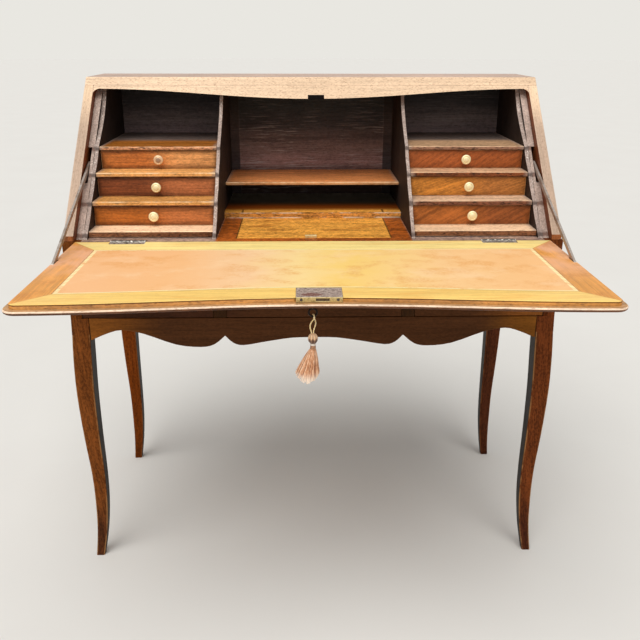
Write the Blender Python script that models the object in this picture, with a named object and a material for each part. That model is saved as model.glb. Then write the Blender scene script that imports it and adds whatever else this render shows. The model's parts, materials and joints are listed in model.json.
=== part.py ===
"""Slant-front desk with a fitted interior, shown with its fall open.

Metres, +Z up, +Y to the back of the desk. The model's own frame has its origin on the floor, under
the middle of the whole outline; the root empty stands on the floor under the front of the case, so
pieces are written with y = 0 at the case front and y = CASE_D at its back.
"""

import math

import bpy

for old in list(bpy.data.objects):
    bpy.data.objects.remove(old, do_unlink=True)

# Clearances
GAP = 0.0003
SLIDE = 0.0008
RUN = 0.0012
REACH = 0.02

# Case
CASE_W = 0.940
CASE_D = 0.424
CASE_H = 0.988
WRITE_Z = 0.705
SLANT_DEG = 45.4
SIDE_T = 0.0185
TOP_T = 0.016
FLOOR_T = 0.018
BACK_T = 0.010
BACK_INSET = 0.0055
RAIL_T = 0.016
RAIL_LOW = 0.0060
EDGE_SOFT = 0.0010
BEVEL_FROM_DEG = 50

# Legs: each row is a share of the leg's height, of its sway and of its width at the top
LEG_TOP_W = 0.0345
LEG_PROUD = 0.0045
LEG_SWAY = 0.0050
LEG_ROWS = (
    (0.000, 0.66, 0.51),
    (0.085, -0.54, 0.62),
    (0.184, -1.00, 0.73),
    (0.284, -0.86, 0.79),
    (0.411, 0.18, 0.92),
    (0.553, 0.88, 1.03),
    (0.667, 0.66, 1.06),
    (0.780, 0.00, 1.00),
    (1.000, 0.00, 1.00),
)
LEG_STEPS = 3
LEG_SOFT = 0.0014
LEG_NOTCH = 0.0110

# Frieze: drawer line, apron and stiles
FRIEZE_Z = 0.5515
APRON_T = 0.020
DUST_T = 0.012
STILE_X = 0.184
STILE_W = 0.0252
FRONT_T = 0.018
FRONT_LIFT = 0.0010
# Edges from the leg to the middle: share of the half width, share of the drop below the drawer line
APRON_DROP = 0.0617
APRON_ARCH = (
    (1.000, 0.75), (0.930, 0.53), (0.861, 0.405), (0.765, 0.53),
    (0.622, 0.91), (0.512, 1.00), (0.451, 0.915), (0.400, 0.615),
)
APRON_BOW = (
    (0.400, 0.615), (0.365, 0.86), (0.318, 0.945), (0.213, 0.82), (0.100, 0.70), (0.000, 0.685),
)
SIDE_DROP = 0.0600
SIDE_ARCH = (
    (1.000, 0.775), (0.900, 0.50), (0.740, 0.485), (0.420, 0.83), (0.200, 0.98), (0.000, 1.00),
)
BACK_DROP = 0.040
CURVE_STEPS = 3

# Frieze drawers
TRAY_SIDE = 0.009
TRAY_FLOOR = 0.006
TRAY_REST = 0.0335
TRAY_LOW = 0.020

# Well under the floor, its cover and the cover's pull
WELL_W = 0.330
WELL_REST = 0.045
WELL_WALL = 0.008
COVER_W = 0.299
COVER_T = 0.0075
COVER_FRONT = 0.0240
COVER_BACK = 0.2050
COVER_TRAVEL = 0.148
COVER_LEDGE = 0.0080
COVER_LAP = 0.020
PULL_X = -0.006
PULL_W = 0.022
PULL_D = 0.019
PULL_T = 0.0014
PULL_NIB = 0.0034
PULL_BACK = 0.0025

# Fitted interior
NEST_BACK = 0.018
NEST_SIDE_T = 0.010
STAY_ROOM = 0.0109
STRIP_D = 0.012
STRIP_SET = 0.001
PARTITION_X = 0.1905
PARTITION_T = 0.007
SCALLOP_TOP = 0.0160
SCALLOP = 0.0045
SCALLOP_STEPS = 6
BASE_T = 0.012
BASE_CENTRE_Y = 0.195
BASE_SET = 0.004
DIVIDER_T = 0.009
SHELF_T = 0.007
LOW_ROOM = 0.0395
MID_ROOM = 0.0390
TOP_ROOM = 0.0380
CENTRE_SHELF_Z = 0.0685
CENTRE_SHELF_T = 0.0065
CENTRE_SHELF_Y = 0.2418
SMALL_FRONT = 0.010
SMALL_SIDE = 0.006
SMALL_FLOOR = 0.005
SMALL_LOW = 0.008
SMALL_SETBACK = 0.005
SMALL_REST = 0.012
KNOB_R = 0.0098
KNOB_BALL = 0.0110
KNOB_L = 0.0155
KNOB_FOOT_R = 0.0062
KNOB_FOOT_T = 0.0015
KNOB_NECK_R = 0.0040
KNOB_NECK_L = 0.0042
KNOB_STEPS = 7
KNOB_SIDES = 20

# Fall
RABBET = 0.008
LIP_T = 0.007
LIP_OVER = 0.0095
LIP_ROUND = 0.0045
LIP_STEPS = 4
LIP_END = 0.25
LID_GAP = 0.0015
LID_DIP = 0.0265
LID_EDGE = 0.0008
CORNER_R = 0.0135
CORNER_STEPS = 5
FRONT_STEPS = 24
LEATHER_SIDE = 0.051
LEATHER_BACK = 0.0583
LEATHER_MARGIN = 0.0475
LEATHER_T = 0.0013

# Hinges
HINGE_SIDE = 0.100
HINGE_L = 0.066
HINGE_LEAF = 0.0165
HINGE_T = 0.0018
KNUCKLE_R = 0.0028
KNUCKLE_L = 0.0225
KNUCKLE_SIDES = 20

# Lock, bolt, key
LOCK_X = 0.0025
LOCK_W = 0.070
LOCK_D = 0.0465
LOCK_T = 0.0125
SELVEDGE_T = 0.0020
BOLT_X = 0.0075
BOLT_W = 0.020
BOLT_T = 0.0038
BOLT_L = 0.023
BOLT_CENTRE = 0.0040
STRIKE_W = 0.033
STRIKE_H = 0.010
STRIKE_T = 0.0015
STRIKE_DEEP = 0.0078
KEY_X = -0.007
KEY_BACK = 0.019
KEY_STEM_R = 0.0022
KEY_HOLE_R = 0.0032
KEY_WARD_R = 0.0078
KEY_TIP = 0.0068
KEY_BIT_L = 0.0066
KEY_BIT_T = 0.0020
KEY_BIT_H = 0.0040
BOW_DROP = 0.0155
BOW_R = 0.0062
BOW_WIRE = 0.0015
BOW_SIDES = 24
WIRE_SIDES = 8

# Stays
STAY_D = 0.144
STAY_DEEP = 0.0035
STAY_OPEN_DEG = 23.5
STAY_SHUT_DEG = -17.5
STAY_L = 0.319
STAY_H = 0.008
STAY_T = 0.004
STAY_INSET = 0.0010
STAY_HOOK_L = 0.0068
STAY_HOOK = 0.003
STAY_PIN_R = 0.0018
STAY_PIN_IN = 0.0040
STAY_HEAD_R = 0.0034
STAY_ROUND_STEPS = 8
STAY_NOTCH_HINGE = 0.022
STAY_NOTCH_FREE = 0.0078
STAY_NOTCH_SIDE = 0.0015
STAY_SLOT_CLEAR = 0.0015
SWING_STEPS = 48

# Tassel: radii and heights are below the pivot on the key's bow
CORD_R = 0.0011
# Loop of cord through the bow, in millimetres from the pivot: up at the front, over the wire, down behind
CORD_ROUTE_MM = (
    (-2.2, 0.0, -27.8), (-2.9, -0.8, -23.5), (-4.3, -2.0, -18.0), (-3.8, -3.3, -12.0), (-1.2, -4.2, -6.6),
    (1.9, -4.5, -2.2), (2.0, -3.4, 1.6), (1.0, 0.0, 3.20), (0.5, 3.2, 1.7),
    (1.0, 4.4, -2.0), (3.2, 4.2, -7.5), (4.4, 3.1, -12.5), (3.0, 1.7, -18.0), (1.2, 0.7, -23.2),
    (0.7, 0.0, -27.9),
)
CORD_STEPS = 3
BEAD_TOP = 0.0283
BEAD_R = 0.0080
BEAD_H = 0.0165
BEAD_FULLNESS = 0.7
NECK_R = 0.0044
NECK_H = 0.0095
NECK_ENDS = (0.8, 0.2)
SKIRT_H = 0.0520
SKIRT_TOP_R = 0.0056
SKIRT_R = 0.0180
SKIRT_LEAN = -0.0088
SKIRT_SPREAD = 0.75
SKIRT_BEND = 1.3
SKIRT_FLUTE = 0.05
SKIRT_SIDES = 24
SKIRT_STEPS = 7
BEAD_STEPS = 6

# Sizes worked out from the ones above
SLANT = math.radians(SLANT_DEG)
CLOSING = math.pi - SLANT
HALF = CASE_W / 2
SIDE_IN = HALF - SIDE_T
LID_HALF = SIDE_IN - LID_GAP
HINGE_X = LID_HALF - HINGE_SIDE
LEATHER_HALF = LID_HALF - LEATHER_SIDE
LEG_OUT = HALF + LEG_PROUD
LEG_IN = LEG_OUT - LEG_TOP_W
FACE = RABBET - GAP
FOOT_Z = WRITE_Z + FACE / math.cos(SLANT)
UNDER_TOP = CASE_H - TOP_T
LID_L = (UNDER_TOP - RAIL_LOW - WRITE_Z - FACE * math.cos(SLANT)) / math.sin(SLANT) - LID_GAP
BACK_Y = CASE_D - BACK_INSET - BACK_T
NEST_END = BACK_Y - GAP
FLOOR_LOW = WRITE_Z - FLOOR_T
TRAY_END = BACK_Y - TRAY_REST
WELL_END = BACK_Y - WELL_REST
NEST_OUT = SIDE_IN - STAY_ROOM
NEST_IN = NEST_OUT - NEST_SIDE_T
BANK_IN = PARTITION_X + PARTITION_T / 2
CENTRE_HALF = PARTITION_X - PARTITION_T / 2
BASE_TOP = WRITE_Z + GAP + BASE_T
LOW_DIVIDER = BASE_TOP + LOW_ROOM
MID_DIVIDER = LOW_DIVIDER + DIVIDER_T + MID_ROOM
PIGEON_SHELF = MID_DIVIDER + DIVIDER_T + TOP_ROOM
PIGEON_TOP = PIGEON_SHELF + SHELF_T
LID_THICK = RABBET + LIP_T
LOCK_EDGE = LID_L - LID_DIP
KEY_D = LOCK_EDGE - KEY_BACK
BOW_T = LID_THICK + BOW_DROP
PIVOT_T = BOW_T + BOW_R
STAY_X = LID_HALF - STAY_INSET - STAY_T / 2
LEG_BULGE = LEG_SWAY * max(sway for _, sway, _ in LEG_ROWS)
FRONT_Y = (LID_L + LIP_OVER - CASE_D - LEG_BULGE) / 2


def closed(d, t):
    """Where a point of the fall lies when it is shut: d from the hinge, t above its inner face."""
    y = d * math.cos(SLANT) + t * math.sin(SLANT)
    z = WRITE_Z + d * math.sin(SLANT) - t * math.cos(SLANT)
    return y, z


def slant_y(z, behind=0.0):
    """Depth of the sloping face at a height, or of the plane this far behind it."""
    return (z - FOOT_Z) / math.tan(SLANT) + behind / math.sin(SLANT)


def nest_y(z):
    return slant_y(z, NEST_BACK)


def lid_reach(x):
    """Length of the fall from its hinge to its free edge, which dips in the middle."""
    return LID_L - LID_DIP * math.cos(math.pi * x / (2 * LID_HALF)) ** 2


def smooth(points, steps):
    """Points on a curve through the given ones."""
    held = [points[0], *points, points[-1]]
    found = []
    for a, b, c, d in zip(held, held[1:], held[2:], held[3:]):
        for i in range(steps):
            u = i / steps
            point = []
            for p, q, r, s in zip(a, b, c, d):
                bend = (2 * p - 5 * q + 4 * r - s) * u ** 2 + (3 * q - p - 3 * r + s) * u ** 3
                point.append(q + ((r - p) * u + bend) / 2)
            found.append(tuple(point))
    found.append(tuple(points[-1]))
    return found


def arc(cx, cy, radius, start_deg, end_deg, steps):
    angles = [math.radians(start_deg + (end_deg - start_deg) * i / steps) for i in range(steps + 1)]
    return [(cx + radius * math.cos(a), cy + radius * math.sin(a)) for a in angles]


def finish(name, colour, roughness, metallic):
    made = bpy.data.materials.new(name)
    made.use_nodes = True
    shader = made.node_tree.nodes["Principled BSDF"]
    shader.inputs["Base Color"].default_value = (*colour, 1.0)
    shader.inputs["Roughness"].default_value = roughness
    shader.inputs["Metallic"].default_value = metallic
    return made


WALNUT = ((0.20, 0.085, 0.032), 0.45, 0.0)
PALE_WALNUT = ((0.42, 0.22, 0.10), 0.45, 0.0)
DARK_WALNUT = ((0.060, 0.026, 0.016), 0.60, 0.0)
DRAWER_WOOD = ((0.24, 0.085, 0.030), 0.45, 0.0)
HONEY = ((0.62, 0.36, 0.12), 0.40, 0.0)
OAK = ((0.36, 0.20, 0.09), 0.60, 0.0)
LEATHER = ((0.66, 0.33, 0.17), 0.55, 0.0)
BRASS = ((0.72, 0.56, 0.30), 0.30, 1.0)
IRON = ((0.20, 0.18, 0.18), 0.45, 1.0)
STEEL = ((0.52, 0.50, 0.48), 0.30, 1.0)
THREAD = ((0.74, 0.42, 0.24), 0.85, 0.0)


def empty(name, at, parent=None, turn_x=0.0):
    made = bpy.data.objects.new(name, None)
    bpy.context.scene.collection.objects.link(made)
    made.parent = parent
    made.location = at
    made.rotation_euler = (turn_x, 0.0, 0.0)
    return made


def mesh_of(name, verts, faces):
    """A mesh whose faces point outwards, whichever way round they were listed."""
    mesh = bpy.data.meshes.new(name)
    mesh.from_pydata([tuple(v) for v in verts], [], [tuple(f) for f in faces])
    volume = 0.0
    for f in faces:
        for i in range(1, len(f) - 1):
            a, b, c = (mesh.vertices[k].co for k in (f[0], f[i], f[i + 1]))
            volume += a.dot(b.cross(c))
    if volume < 0:
        mesh.flip_normals()
    return mesh


def piece(name, shape, look, parent, soft=0.0, round_deg=0.0):
    """One named part of the desk."""
    made = bpy.data.objects.new(name, mesh_of(name, *shape))
    bpy.context.scene.collection.objects.link(made)
    made.parent = parent
    made.data.materials.append(finish(name, *look))
    if round_deg:
        made.data.shade_smooth()
        made.data.set_sharp_from_angle(angle=math.radians(round_deg))
    if soft:
        bevel = made.modifiers.new("soft edges", "BEVEL")
        bevel.width = soft
        bevel.segments = 1
        bevel.limit_method = "ANGLE"
        bevel.angle_limit = math.radians(BEVEL_FROM_DEG)
    return made


def shaped(target, shape, operation="DIFFERENCE"):
    """Cuts a shape from a part, or joins it on, with the shape kept as a hidden guide."""
    name = f"{target.name}.{operation.lower()}{len(target.modifiers)}"
    guide = bpy.data.objects.new(name, mesh_of(name, *shape))
    bpy.context.scene.collection.objects.link(guide)
    guide.parent = target.parent
    guide.hide_render = True
    guide.display_type = "WIRE"
    change = target.modifiers.new(name, "BOOLEAN")
    change.operation = operation
    change.object = guide
    change.solver = "EXACT"


def rings(loops):
    """A closed shape through loops of equally many points."""
    count = len(loops[0])
    verts = [p for loop in loops for p in loop]
    faces = [tuple(range(count))[::-1]]
    for k in range(len(loops) - 1):
        low, high = k * count, (k + 1) * count
        for i in range(count):
            j = (i + 1) % count
            faces.append((low + i, low + j, high + j, high + i))
    faces.append(tuple(range((len(loops) - 1) * count, len(loops) * count)))
    return verts, faces


def prism(outline, axis, low, high):
    """An outline pushed along an axis: (y, z) along X, (x, z) along Y, (x, y) along Z."""
    place = {
        "X": lambda a, b, c: (c, a, b),
        "Y": lambda a, b, c: (a, c, b),
        "Z": lambda a, b, c: (a, b, c),
    }[axis]
    return rings([[place(a, b, c) for a, b in outline] for c in (low, high)])


def block(x, y, z):
    return prism([(x[0], y[0]), (x[1], y[0]), (x[1], y[1]), (x[0], y[1])], "Z", *z)


def span(side, near, far):
    """A range of x on one side of the desk, in rising order."""
    return tuple(sorted((side * near, side * far)))


def tube(axis, centre, radius, low, high, sides):
    """A round bar along an axis; centre gives the other two coordinates."""
    return prism(arc(*centre, radius, 0, 360 - 360 / sides, sides - 1), axis, low, high)


def turned(profile, axis_point, sides):
    """A turned shape about a line along Y; the profile holds (y, radius)."""
    x, z = axis_point
    return rings([[(a, y, b) for a, b in arc(x, z, r, 0, 360 - 360 / sides, sides - 1)] for y, r in profile])


def leg_rows():
    rows = [(share * WRITE_Z, sway * LEG_SWAY, width * LEG_TOP_W) for share, sway, width in LEG_ROWS]
    return smooth(rows, LEG_STEPS)


def leg(name, side, front):
    """A square leg that sways out at the knee and the foot."""
    loops = []
    for z, sway, width in leg_rows():
        out_x, in_x = LEG_OUT + sway, LEG_OUT + sway - width
        out_y, in_y = -sway, width - sway
        c = LEG_SOFT
        corner = [
            (out_x - c, out_y), (in_x + c, out_y), (in_x, out_y + c), (in_x, in_y - c),
            (in_x + c, in_y), (out_x - c, in_y), (out_x, in_y - c), (out_x, out_y + c),
        ]
        loops.append([(side * x, y if front else CASE_D - y, z) for x, y in corner])
    made = piece(name, rings(loops), WALNUT, desk, round_deg=40)
    if front:
        notch_x = span(side, LEG_IN - REACH, LEG_IN + LEG_NOTCH)
        shaped(made, block(notch_x, (-REACH, FRONT_T + 2 * GAP), (FRIEZE_Z, FLOOR_LOW)))


def mirrored_edge(runs, half, deep):
    """A lower edge from one end to the other, given for one half from the end to the middle."""
    left = []
    for run in runs:
        left += smooth([(-share * half, FRIEZE_Z - drop * deep) for share, drop in run], CURVE_STEPS)[:-1]
    return left + [(0.0, FRIEZE_Z - runs[-1][-1][1] * deep)] + [(-x, z) for x, z in reversed(left)]


def base_frame():
    for name, side, front in (
        ("leg_front_left", -1, True), ("leg_front_right", 1, True),
        ("leg_rear_left", -1, False), ("leg_rear_right", 1, False),
    ):
        leg(name, side, front)
    half = LEG_IN - GAP
    edge = mirrored_edge((APRON_ARCH, APRON_BOW), half, APRON_DROP)
    outline = edge + [(half, FRIEZE_Z), (-half, FRIEZE_Z)]
    piece("front_apron", prism(outline, "Y", GAP, APRON_T), WALNUT, desk, EDGE_SOFT)
    middle = CASE_D / 2
    reach = middle - LEG_TOP_W - GAP
    low = [(middle + y, z) for y, z in mirrored_edge((SIDE_ARCH,), reach, SIDE_DROP)]
    outline = low + [(middle + reach, WRITE_Z), (middle - reach, WRITE_Z)]
    for name, side in (("side_rail_left", -1), ("side_rail_right", 1)):
        piece(name, prism(outline, "X", *span(side, SIDE_IN, HALF)), WALNUT, desk, EDGE_SOFT)
    shape = block((-half, half), (APRON_T + GAP, NEST_END), (FRIEZE_Z - DUST_T, FRIEZE_Z))
    piece("dust_board", shape, OAK, desk)
    for name, side in (("frieze_stile_left", -1), ("frieze_stile_right", 1)):
        x = span(side, STILE_X - STILE_W / 2, STILE_X + STILE_W / 2)
        piece(name, block(x, (GAP, APRON_T), (FRIEZE_Z + GAP, FLOOR_LOW - GAP)), WALNUT, desk, EDGE_SOFT)


def case_floor():
    half, corner = SIDE_IN - GAP, LEG_IN - GAP
    front, rear = LEG_TOP_W + GAP, CASE_D - LEG_TOP_W - GAP
    outline = [
        (-corner, GAP), (corner, GAP), (corner, front), (half, front), (half, rear), (corner, rear),
        (corner, NEST_END), (-corner, NEST_END), (-corner, rear), (-half, rear), (-half, front),
        (-corner, front),
    ]
    made = piece("case_floor", prism(outline, "Z", FLOOR_LOW, WRITE_Z), HONEY, desk)
    groove = COVER_W / 2 + RUN / 2
    groove_end = COVER_BACK + COVER_TRAVEL + RUN
    groove_low = WRITE_Z - COVER_T - 2 * GAP
    shaped(made, block((-groove, groove), (COVER_FRONT - RUN / 2, groove_end), (groove_low, WRITE_Z + REACH)))
    mouth = COVER_W / 2 - COVER_LEDGE
    mouth_y = (COVER_FRONT + COVER_LEDGE, COVER_BACK - COVER_LAP)
    shaped(made, block((-mouth, mouth), mouth_y, (FLOOR_LOW - REACH, WRITE_Z + REACH)))
    for side in (-1, 1):
        shaped(made, hinge_seat(side, 1))


def upper_case():
    low = WRITE_Z + GAP
    outline = [
        (GAP, low), (GAP, FOOT_Z), (slant_y(UNDER_TOP - GAP), UNDER_TOP - GAP),
        (CASE_D, UNDER_TOP - GAP), (CASE_D, low),
    ]
    for name, side in (("side_panel_left", -1), ("side_panel_right", 1)):
        piece(name, prism(outline, "X", *span(side, SIDE_IN, HALF)), PALE_WALNUT, desk, EDGE_SOFT)
    outline = [
        (slant_y(UNDER_TOP), UNDER_TOP), (slant_y(CASE_H), CASE_H), (CASE_D, CASE_H), (CASE_D, UNDER_TOP),
    ]
    piece("top_board", prism(outline, "X", -HALF, HALF), PALE_WALNUT, desk, EDGE_SOFT)
    half, low_half = SIDE_IN - GAP, LEG_IN - GAP
    outline = [
        (-low_half, FRIEZE_Z - BACK_DROP), (low_half, FRIEZE_Z - BACK_DROP), (low_half, WRITE_Z + GAP),
        (half, WRITE_Z + GAP), (half, UNDER_TOP - GAP), (-half, UNDER_TOP - GAP), (-half, WRITE_Z + GAP),
        (-low_half, WRITE_Z + GAP),
    ]
    piece("back_board", prism(outline, "Y", BACK_Y, BACK_Y + BACK_T), DARK_WALNUT, desk)


def opening_edge():
    """Upper edge of the opening as (x, length from the hinge), with its two round corners."""
    half = SIDE_IN - GAP
    flat = half - CORNER_R
    end = lid_reach(flat) + LID_GAP
    left = [(-x, d) for x, d in arc(flat, end - CORNER_R, CORNER_R, 0, 90, CORNER_STEPS)]
    xs = [-flat + 2 * flat * i / FRONT_STEPS for i in range(1, FRONT_STEPS)]
    return left + [(x, lid_reach(x) + LID_GAP) for x in xs] + [(-x, d) for x, d in reversed(left)]


def top_rail():
    edge = [(x, *closed(d, -FACE)) for x, d in opening_edge()]
    top = UNDER_TOP - GAP
    half = SIDE_IN - GAP
    front = edge + [(half, slant_y(top), top), (-half, slant_y(top), top)]
    back = [(x, y + RAIL_T / math.sin(SLANT), z) for x, y, z in front]
    made = piece("top_rail", rings([front, back]), PALE_WALNUT, desk)
    near = lid_reach(BOLT_X) + LID_GAP

    def in_slope(width, d, t):
        corners = [closed(a, -b) for a, b in ((d[0], t[0]), (d[1], t[0]), (d[1], t[1]), (d[0], t[1]))]
        return prism(corners, "X", BOLT_X - width / 2, BOLT_X + width / 2)

    notch_d = (near - REACH, near + STRIKE_H + GAP)
    shaped(made, in_slope(STRIKE_W + 2 * GAP, notch_d, (FACE + REACH, FACE - STRIKE_DEEP)))
    plate = in_slope(STRIKE_W, (near, near + STRIKE_H), (FACE, FACE - STRIKE_T))
    piece("strike_plate", plate, STEEL, desk)


def well():
    half = WELL_W / 2
    front = APRON_T + GAP
    floor = FRIEZE_Z + GAP
    made = piece("well_box", block((-half, half), (front, WELL_END), (floor, FLOOR_LOW - GAP)), OAK, desk)
    inside = half - WELL_WALL
    room = (front + WELL_WALL, WELL_END - WELL_WALL)
    shaped(made, block((-inside, inside), room, (floor + WELL_WALL, FLOOR_LOW + REACH)))
    centre = STILE_X - STILE_W / 2 - GAP
    shape = block((-centre, centre), (GAP, FRONT_T), (FRIEZE_Z + FRONT_LIFT, FLOOR_LOW - GAP))
    piece("centre_front", shape, WALNUT, desk, EDGE_SOFT)
    slide = empty("well_cover_slide", (0.0, COVER_FRONT, WRITE_Z), desk)
    cover = block((-COVER_W / 2, COVER_W / 2), (0.0, COVER_BACK - COVER_FRONT), (-COVER_T - GAP, -GAP))
    piece("well_cover", cover, HONEY, slide)
    near, far, nib = PULL_BACK, PULL_BACK + PULL_D, PULL_BACK + PULL_NIB
    high = PULL_T + PULL_NIB
    outline = [(near, 0.0), (far, 0.0), (far, PULL_T), (nib, PULL_T), (nib, high), (near, high)]
    piece("well_pull", prism(outline, "X", PULL_X - PULL_W / 2, PULL_X + PULL_W / 2), BRASS, slide)


def frieze_drawer(name, side):
    """A drawer front that overlaps the leg, on a plain tray."""
    centre = (STILE_X + LEG_IN) / 2
    slide = empty(f"{name}_slide", (side * centre, 0.0, FRIEZE_Z), desk)
    inner, outer = STILE_X + STILE_W / 2 + SLIDE - centre, LEG_IN + LEG_NOTCH - SLIDE - centre
    height = FLOOR_LOW - FRIEZE_Z
    face_z = (FRONT_LIFT, height - FRONT_LIFT)
    made = piece(name, block(span(side, inner, outer), (GAP, FRONT_T), face_z), WALNUT, slide, EDGE_SOFT)
    tray_out = LEG_IN - centre - 2 * RUN
    tray_in = inner + RUN
    tray_z = (GAP, height - TRAY_LOW)
    shaped(made, block(span(side, tray_in, tray_out), (FRONT_T / 2, TRAY_END), tray_z), "UNION")
    room_x = span(side, tray_in + TRAY_SIDE, tray_out - TRAY_SIDE)
    shaped(made, block(room_x, (FRONT_T, TRAY_END - TRAY_SIDE), (GAP + TRAY_FLOOR, height + REACH)))


def scalloped_front():
    """Front edge of an upright of the interior, from the floor up, hollowed between the boards it carries."""
    tops = (BASE_TOP, LOW_DIVIDER + DIVIDER_T, MID_DIVIDER + DIVIDER_T, PIGEON_TOP)
    stops = (WRITE_Z + GAP, *tops, UNDER_TOP - GAP)
    depths = (0.0, SCALLOP, SCALLOP, SCALLOP, SCALLOP_TOP)
    found = []
    for low, high, depth in zip(stops, stops[1:], depths):
        steps = SCALLOP_STEPS if depth else 1
        for i in range(steps):
            z = low + (high - low) * i / steps
            found.append((nest_y(z) + depth * math.sin(math.pi * i / steps), z))
    found.append((nest_y(stops[-1]), stops[-1]))
    return found


def stay_slot():
    """Lowest and highest height that the stays cross the guide strips at, as the fall swings."""
    low, high = CASE_H, 0.0
    for step in range(SWING_STEPS + 1):
        share = step / SWING_STEPS
        turn = CLOSING * share
        lean = math.radians(STAY_OPEN_DEG + (STAY_SHUT_DEG - STAY_OPEN_DEG) * share)
        y = -STAY_D * math.cos(turn) - STAY_DEEP * math.sin(turn)
        z = WRITE_Z + STAY_D * math.sin(turn) - STAY_DEEP * math.cos(turn)
        slope = math.tan(lean)
        thick = STAY_H / 2 / math.cos(lean)
        for back in (STRIP_SET, STRIP_SET + STRIP_D):
            rise = 1 / math.tan(SLANT)
            at = (z + slope * (back - y) + slope * (nest_y(0.0))) / (1 - slope * rise)
            low, high = min(low, at - thick), max(high, at + thick)
    return low - STAY_SLOT_CLEAR, high + STAY_SLOT_CLEAR


def slanted_strip(low, high, depth_from, depth_to):
    return [
        (nest_y(low) + depth_from, low), (nest_y(low) + depth_to, low),
        (nest_y(high) + depth_to, high), (nest_y(high) + depth_from, high),
    ]


def nest_uprights():
    front = scalloped_front()
    top = front[-1][1]
    outline = front + [(NEST_END, top), (NEST_END, WRITE_Z + GAP)]
    slot_low, slot_high = stay_slot()
    for name, side in (("nest_side_left", -1), ("nest_side_right", 1)):
        made = piece(name, prism(outline, "X", *span(side, NEST_IN, NEST_OUT)), DARK_WALNUT, desk)
        strip = slanted_strip(WRITE_Z + GAP, top, STRIP_SET, STRIP_SET + STRIP_D)
        shaped(made, prism(strip, "X", *span(side, NEST_OUT - NEST_SIDE_T / 4, SIDE_IN - GAP)), "UNION")
        slot_x = span(side, STAY_X - STAY_T / 2 - RUN, SIDE_IN + REACH)
        shaped(made, prism(slanted_strip(slot_low, slot_high, -REACH, STRIP_D + REACH), "X", *slot_x))
    over_base = [(NEST_END, top), (NEST_END, BASE_TOP + GAP), (BASE_CENTRE_Y - GAP, BASE_TOP + GAP)]
    outline = front + over_base + [(BASE_CENTRE_Y - GAP, WRITE_Z + GAP)]
    for name, side in (("partition_left", -1), ("partition_right", 1)):
        piece(name, prism(outline, "X", *span(side, CENTRE_HALF, BANK_IN)), PALE_WALNUT, desk)


def nest_boards():
    arm, half = BANK_IN + GAP, NEST_IN - GAP
    front = nest_y(BASE_TOP) + BASE_SET
    outline = [
        (-half, front), (-arm, front), (-arm, BASE_CENTRE_Y), (arm, BASE_CENTRE_Y), (arm, front),
        (half, front), (half, NEST_END), (-half, NEST_END),
    ]
    piece("nest_base", prism(outline, "Z", WRITE_Z + GAP, BASE_TOP), DRAWER_WOOD, desk)
    for stem, low, thick in (
        ("lower_divider", LOW_DIVIDER, DIVIDER_T),
        ("upper_divider", MID_DIVIDER, DIVIDER_T),
        ("pigeonhole_shelf", PIGEON_SHELF, SHELF_T),
    ):
        for end, side in (("left", -1), ("right", 1)):
            shape = block(span(side, arm, half), (nest_y(low + thick), NEST_END), (low, low + thick))
            piece(f"{stem}_{end}", shape, DRAWER_WOOD, desk, EDGE_SOFT)
    inside = CENTRE_HALF - GAP
    z = WRITE_Z + CENTRE_SHELF_Z
    shape = block((-inside, inside), (CENTRE_SHELF_Y, NEST_END), (z - CENTRE_SHELF_T, z))
    piece("centre_shelf", shape, HONEY, desk, EDGE_SOFT)


def knob_profile():
    """A foot, a neck and a flattened ball, as (y, radius) from the drawer front outwards."""
    rows = [(-GAP, KNOB_FOOT_R), (-KNOB_FOOT_T, KNOB_FOOT_R), (-KNOB_NECK_L, KNOB_NECK_R)]
    for i in range(1, KNOB_STEPS):
        a = math.pi * i / KNOB_STEPS
        rows.append((-KNOB_L + KNOB_BALL * (1 + math.cos(a)) / 2, KNOB_R * math.sin(a)))
    return rows


def small_drawer(level, end, side, low, room, above):
    """A little drawer with a turned knob; above is the height of the top of the board over it."""
    front = nest_y(above) + SMALL_SETBACK
    middle = (BANK_IN + NEST_IN) / 2
    slide = empty(f"{level}_drawer_{end}_slide", (side * middle, front, low), desk)
    half = (NEST_IN - BANK_IN) / 2 - SLIDE
    depth = NEST_END - SMALL_REST - front
    z = (GAP, room - SLIDE)
    body = block((-half, half), (0.0, depth), z)
    made = piece(f"{level}_drawer_{end}", body, DRAWER_WOOD, slide, EDGE_SOFT)
    room_y = (SMALL_FRONT, depth - SMALL_SIDE)
    inside = half - SMALL_SIDE
    shaped(made, block((-inside, inside), room_y, (GAP + SMALL_FLOOR, room + REACH)))
    wide = half + REACH
    shaped(made, block((-wide, wide), (SMALL_FRONT, depth + REACH), (room - SMALL_LOW, room + REACH)))
    knob = turned(knob_profile(), (0.0, room / 2), KNOB_SIDES)
    piece(f"{level}_knob_{end}", knob, BRASS, slide, round_deg=50)


def lid_outline(out):
    """Outline of the fall, this far outside its inner layer, from hinge to free edge and back."""
    half = LID_HALF + out
    radius = CORNER_R - LID_GAP + out
    flat = half - radius
    end = lid_reach(flat) + out
    left = [(-x, d) for x, d in arc(flat, end - radius, radius, 0, 90, CORNER_STEPS)]
    xs = [-flat + 2 * flat * i / FRONT_STEPS for i in range(1, FRONT_STEPS)]
    front = [(x, lid_reach(x) + out) for x in xs]
    start = LID_EDGE + max(out, 0.0) * LIP_END
    return [(-half, start)] + left + front + [(-x, d) for x, d in reversed(left)] + [(half, start)]


def lid_ring(out, t):
    return [(x, -d, t) for x, d in lid_outline(out)]


def leather_outline(out):
    half = LEATHER_HALF + out
    xs = [half - 2 * half * i / FRONT_STEPS for i in range(FRONT_STEPS + 1)]
    front = [(x, -(lid_reach(x) - LEATHER_MARGIN + out)) for x in xs]
    return [(-half, -LEATHER_BACK + out), (half, -LEATHER_BACK + out)] + front


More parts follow.
